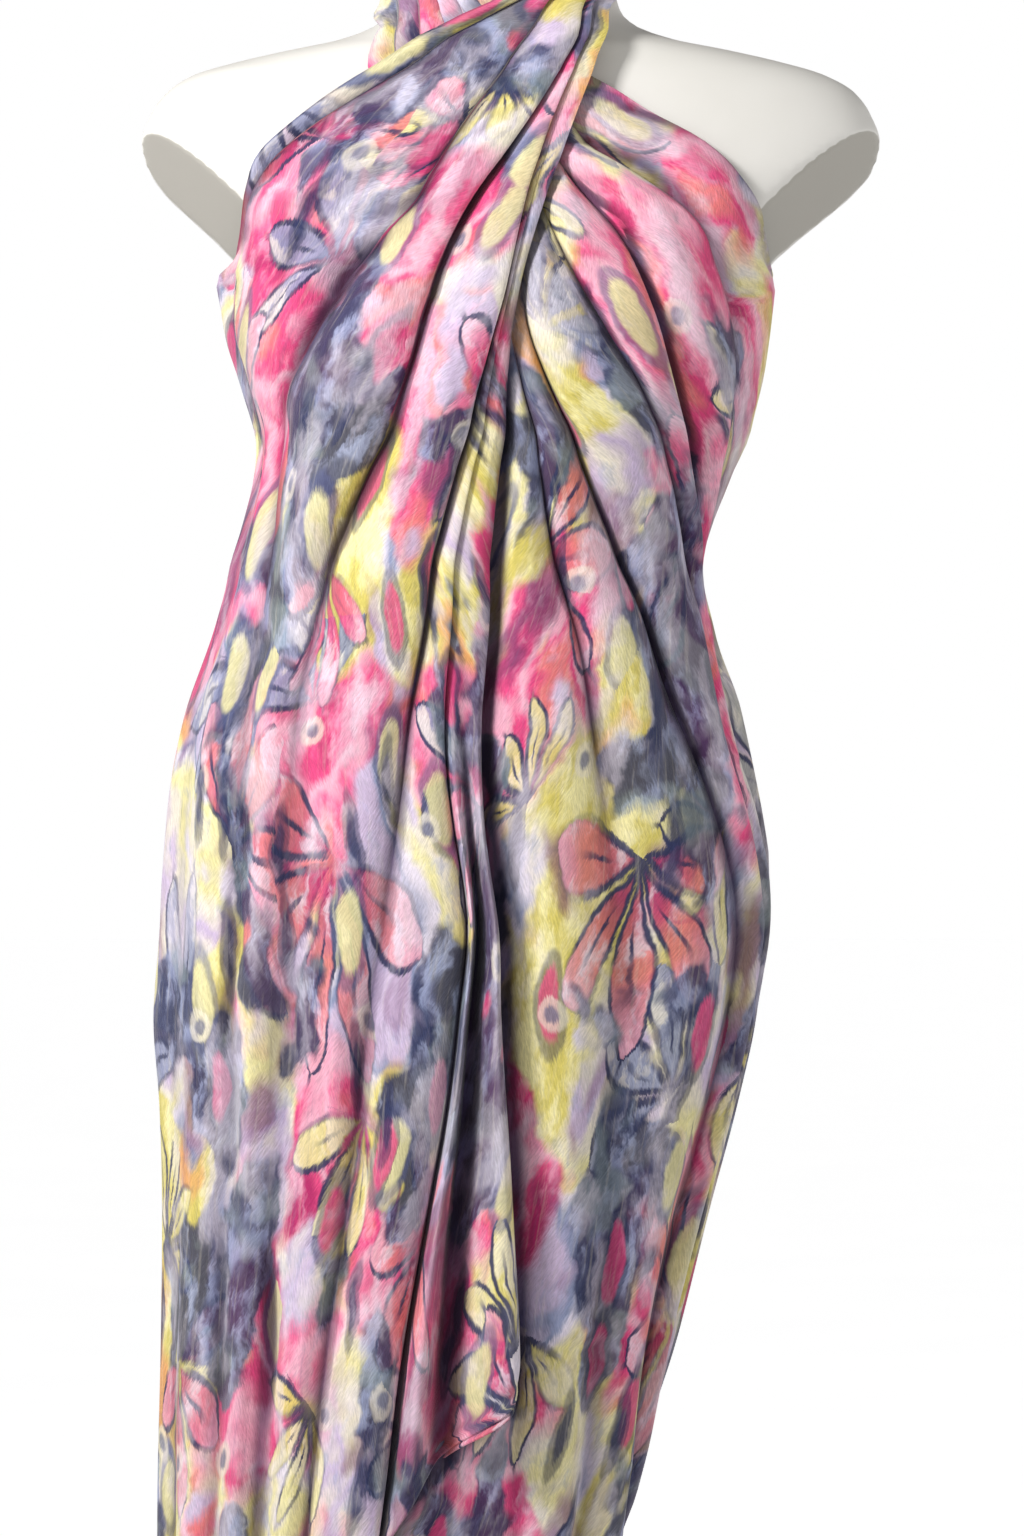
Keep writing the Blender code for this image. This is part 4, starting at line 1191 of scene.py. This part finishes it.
    fill, rim, vein, out, luck = petals(finish, calm, 6.2, 8, 0.074, (0.3, 5.1), (0.66, 1.45), 0.70, 0.62)
    bloom = finish.mix(finish.soft(luck, 0.45, 0.55), HOT_PINK, CORAL)
    bloom = finish.mix(finish.soft(out, 0.60, 0.20), bloom, MAGENTA)
    bloom = finish.mix(finish.soft(out, 0.55, 0.95, 0.0, 0.9), bloom, ROSE)
    bloom = finish.mix(finish.soft(mottle, 0.50, 0.66, 0.0, 0.6), bloom, MIST)
    cloth = finish.mix(finish.times(fill, 0.86), cloth, bloom)
    cloth = finish.mix(finish.times(finish.math("MAXIMUM", rim, vein), ink), cloth, NAVY)

    # Navy blots lie over them, with a paler mottle inside.
    blot = finish.cells(at, 46.0, "SMOOTH_F1").outputs["Distance"]
    dark = finish.mix(finish.soft(mottle, 0.44, 0.62), NAVY, BLUE_GREY)
    dark = finish.mix(finish.soft(blot, 0.46, 0.20, 0.0, 0.85), dark, NAVY)
    dark = finish.mix(finish.soft(cloud, 0.55, 0.66, 0.0, 0.45), dark, GREY_GREEN)
    edge = finish.math("MULTIPLY_ADD", blot, -0.04, field(2.4, 6.1, 9.0, 0.55))
    cloth = finish.mix(finish.soft(edge, 0.522, 0.560, 0.0, 0.92), cloth, dark)

    # Long drops with a navy rim, spots and short brush strokes.
    for scale, squeeze, chance, size, colour, rim_colour in MARKS:
        squeezed = finish.squeezed(finish.shifted(calm, scale, 0.1), squeeze)
        cell = finish.cells(squeezed, scale)
        luck = finish.split(cell.outputs["Color"], "Color")
        chosen = finish.math("GREATER_THAN", luck[0], chance)
        near = cell.outputs["Distance"]
        rim = finish.times(finish.soft(near, size + 0.10, size + 0.04), chosen)
        cloth = finish.mix(finish.times(rim, 0.6), cloth, rim_colour)
        mark = finish.times(finish.soft(near, size, size - 0.07), chosen)
        cloth = finish.mix(finish.times(mark, 0.75), cloth, colour)

    # A pale veil that the dye ran under, long hairlines and brushed fibres, then painted shade in the creases
    # and painted highlights on the crests.
    veil = finish.squeezed(finish.shifted(at, 3.3, 7.7), 0.45)
    cloth = finish.mix(finish.soft(finish.noise(veil, 26.0, 4.0, 0.6), 0.48, 0.66, 0.0, 0.50), cloth, MIST)
    hair = finish.noise(finish.squeezed(plain, 0.06), 300.0, 3.0, 0.6)
    cloth = finish.mix(finish.soft(hair, 0.54, 0.74, 0.0, 0.16), cloth, CREAM)
    cloth = finish.mix(finish.soft(hair, 0.44, 0.26, 0.0, 0.16), cloth, SLATE)
    brushed_tone = finish.soft(streak, 0.28, 0.72, 0.81, 1.06)
    tone = finish.times(brushed_tone, finish.soft(mottle, 0.25, 0.75, 0.86, 1.10))
    grey = finish.node("ShaderNodeCombineColor", {0: tone, 1: tone, 2: tone}).outputs[0]
    cloth = finish.mix(1.0, cloth, grey, "MULTIPLY")
    # Painted shade: the colour is multiplied darker in the creases, hollows and the over panel's rim shadow.
    cloth = finish.mix(finish.soft(fold_shading, 0.02, 0.80, 0.0, 0.95), cloth, SHADE, "MULTIPLY")
    # Painted highlight: the colour is paled on the crests of the folds.
    cloth = finish.mix(finish.soft(fold_shading, -0.15, -0.8, 0.0, 0.18), cloth, MIST)
    finish.colour(cloth)
    relief = finish.math("ADD", streak, finish.times(mottle, 0.8))
    finish.bump(relief, 0.6, 0.0008)
    return finish.material


def shell_finish():
    """Warm white moulded plastic with a faint haze of fine grain, and painted shade in darker grey on the
    stump ends.
    """
    finish = Finish("form_shell", 0.48, Specular_IOR_Level=0.4)
    at = finish.object_place()
    cloud = finish.noise(at, 9.0, 3.0, 0.5, "3D")
    tint = finish.mix(finish.soft(cloud, 0.3, 0.7), dye(225, 222, 216), dye(218, 215, 208))
    past = finish.node("ShaderNodeAttribute", {}, attribute_name="past_end").outputs["Fac"]
    # Painted shade: the flat stump ends, which face down and outwards, are coloured darker grey.
    tint = finish.mix(finish.soft(past, -0.3, 0.8), tint, dye(172, 168, 159))
    finish.colour(tint)
    grain = finish.noise(at, 900.0, 2.0, 0.6, "3D")
    finish.bump(grain, 0.25, 0.0002)
    return finish.material


def metal_finish():
    """Brushed steel: fine rings of lighter and darker metal round the stand's axis."""
    finish = Finish("stand_metal", 0.36, Metallic=1.0)
    at = finish.object_place()
    parts = finish.split(at)
    squares = finish.math("MULTIPLY_ADD", parts[0], parts[0], finish.times(parts[1], parts[1]))
    rings = finish.node("ShaderNodeCombineXYZ", {0: finish.math("SQRT", squares), 1: parts[2]}).outputs[0]
    brushed = finish.noise(rings, 900.0, 3.0, 0.7)
    tint = finish.mix(finish.soft(brushed, 0.3, 0.7), dye(196, 196, 198), dye(216, 216, 217))
    finish.colour(tint)
    finish.bump(brushed, 0.2, 0.0002)
    return finish.material


def floor_finish():
    """Pale matte studio floor, which glows softly far out, so that it runs into the white around it."""
    finish = Finish("studio_floor", 0.9, Emission_Color=(1.0, 1.0, 1.0, 1.0))
    at = finish.object_place()
    cloud = finish.noise(at, 3.0, 3.0, 0.5, "3D")
    tint = finish.mix(finish.soft(cloud, 0.3, 0.7), dye(238, 238, 238), dye(232, 232, 233))
    finish.colour(tint)
    glow = finish.soft(finish.vector("LENGTH", at), GLOW_START, GLOW_END, 0.0, GLOW)
    finish.feed(finish.shader.inputs["Emission Strength"], glow)
    return finish.material


def add_camera():
    """A level camera that frames the chest, waist and hips from the front."""
    data = bpy.data.cameras.new("view")
    data.sensor_width = SENSOR
    data.lens = SENSOR * VIEW_DISTANCE / VIEW_HEIGHT
    camera = bpy.data.objects.new("view", data)
    camera.location = (VIEW_CENTRE[0], -VIEW_DISTANCE, VIEW_CENTRE[1])
    camera.rotation_euler = (math.pi / 2, 0, 0)
    bpy.context.scene.collection.objects.link(camera)
    bpy.context.scene.camera = camera


def add_lamp(name, place_at, look_at, size, power):
    """A square soft light that faces look_at."""
    data = bpy.data.lights.new(name, "AREA")
    data.shape = "SQUARE"
    data.size = size
    data.energy = power
    lamp = bpy.data.objects.new(name, data)
    away = np.array(place_at) - np.array(look_at)
    lamp.location = place_at
    flat = math.hypot(away[0], away[1])
    lamp.rotation_euler = (math.atan2(flat, away[2]), 0, math.atan2(away[0], -away[1]))
    bpy.context.scene.collection.objects.link(lamp)


def add_studio():
    """Surroundings that are white round the horizon and dimmer above and below, lamps, and a pale floor."""
    world = bpy.data.worlds.new("studio")
    world.use_nodes = True
    sky = Nodes(world.node_tree)
    level = sky.math("ABSOLUTE", sky.split(sky.node("ShaderNodeTexCoord", {}).outputs["Generated"])[2])
    background = sky.tree.nodes["Background"].inputs
    sky.feed(background["Color"], (1.0, 1.0, 1.0))
    sky.feed(background["Strength"], sky.soft(level, 0.14, 0.36, 1.0, 0.16))
    bpy.context.scene.world = world
    bpy.context.scene.view_settings.view_transform = "Standard"
    add_lamp("key_lamp", (-1.45, -1.35, 2.35), (0, 0, 1.2), 0.5, 60)
    add_lamp("rim_lamp", (2.2, -0.4, 1.8), (0, 0, 1.1), 0.8, 8)
    corners = [(x * FLOOR_SIZE, y * FLOOR_SIZE, 0) for x, y in ((-1, -1), (1, -1), (1, 1), (-1, 1))]
    mesh = bpy.data.meshes.new("studio_floor")
    mesh.from_pydata((np.array(corners) * MM).tolist(), [], [(0, 1, 2, 3)])
    mesh.materials.append(floor_finish())
    floor = bpy.data.objects.new("studio_floor", mesh)
    bpy.context.scene.collection.objects.link(floor)


def cut_flat(points):
    """Points moved onto the stumps' flat ends where they stand out past them, and how far they stood out."""
    past = np.full(points.shape[:-1], -100.0)
    for place_on, facing in STUMP_ENDS:
        out = (points - place_on) @ np.array(facing)
        beside = points[..., 0] * facing[0] > 0
        out = np.where(beside & (points[..., 2] > ARMPIT - 20), out, -100.0)
        points = points - np.maximum(out, 0)[..., None] * facing
        past = np.maximum(past, out)
    return points, past


def add_form(look):
    """The dress form's torso: its table's sections, closed at the neck, with flat stump ends and a rounded
    lower edge. Each point carries its distance past the flat ends as an attribute, which sets painted shade
    there."""
    bottom = FORM[-1][0]
    curl = np.linspace(0.25, 1, CURL_ROWS) * math.pi / 2
    levels = [np.linspace(high, low, count, endpoint=False) for high, low, count in FORM_LEVELS]
    z = np.concatenate([*levels, bottom + CURL - CURL * np.sin(curl)])[:, None]
    inward = np.zeros_like(z)
    inward[-CURL_ROWS:, 0] = CURL * (1 - np.cos(curl))
    angle = np.linspace(0, 2 * math.pi, FORM_STEPS, endpoint=False)[None, :]
    rows, past = cut_flat(place(FORM_TABLE, angle + 0 * z, z + 0 * angle, -inward))
    ends = [(FORM[0][1], 0, FORM[0][0]), (FORM[-1][1], 0, bottom)]
    points = np.vstack([rows.reshape(-1, 3), ends])
    form = add_mesh("dress_form", points, closed_faces(len(z), FORM_STEPS), look)
    ends_past = form.data.attributes.new("past_end", "FLOAT", "POINT")
    ends_past.data.foreach_set("value", np.append(past.ravel(), [-100, -100]).astype(np.float32))
    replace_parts(form, "form_torso")


def add_stand(white, metal):
    """Neck cap, under-plate, pole and round base, each with softened edges, and the pole's collar in metal.
    """
    top = FORM[0][0] + CLEAR
    cap = rounded([(reach, top + height) for reach, height in CAP], 5)
    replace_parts(add_round("form_neck_cap", cap, CAP_CENTRE, white), "neck_cap")
    bottom = FORM[-1][0] - CLEAR
    low = bottom - PLATE_THICKNESS
    plate = rounded([(0, bottom), (PLATE_RADIUS, bottom), (PLATE_RADIUS, low), (0, low)], 1.2)
    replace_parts(add_round("under_plate", plate, (0, 0), metal), "form_plate")
    pole_top = low - CLEAR
    foot = BASE_THICKNESS + CLEAR
    pole = rounded([(0, pole_top), (POLE_RADIUS, pole_top), (POLE_RADIUS, foot), (0, foot)], 0.8)
    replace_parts(add_round("stand_pole", pole, (0, 0), metal, 64), "pole")
    base = rounded([(0, BASE_THICKNESS), (BASE_RADIUS, BASE_THICKNESS), (BASE_RADIUS, 0), (0, 0)], 2.6)
    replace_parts(add_round("stand_base", base, (0, 0), metal, 160), "floor_base")
    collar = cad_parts["pole_collar"]
    collar.data.materials.clear()
    collar.data.materials.append(metal)


def add_sarong(batik):
    """The cloth: over panel, under panel, back, knot and tails."""
    over_shape = over_surface()
    under_shape = beside_back(over_shape, under_surface())
    over = add_cloth("over_cloth", over_shape, batik)
    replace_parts(over, "over_panel", "right_strap")
    under = add_cloth("under_cloth", under_shape, batik)
    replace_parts(under, "under_panel", "left_strap")
    back = add_cloth("back_cloth", back_surface(over_shape, under_shape), batik)
    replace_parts(back, "back_panel")
    left = add_cloth("left_tail_cloth", tail_surface(LEFT_TAIL), batik)
    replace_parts(left, "left_tail")
    right = add_cloth("right_tail_cloth", tail_surface(RIGHT_TAIL), batik)
    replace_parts(right, "right_tail")
    knot = add_cloth("knot_cloth", knot_surface(), batik)
    knot.modifiers.clear()
    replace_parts(knot, "nape_knot")


add_camera()
add_studio()
WHITE = shell_finish()
METAL = metal_finish()
add_form(WHITE)
add_stand(WHITE, METAL)
add_sarong(batik_finish())
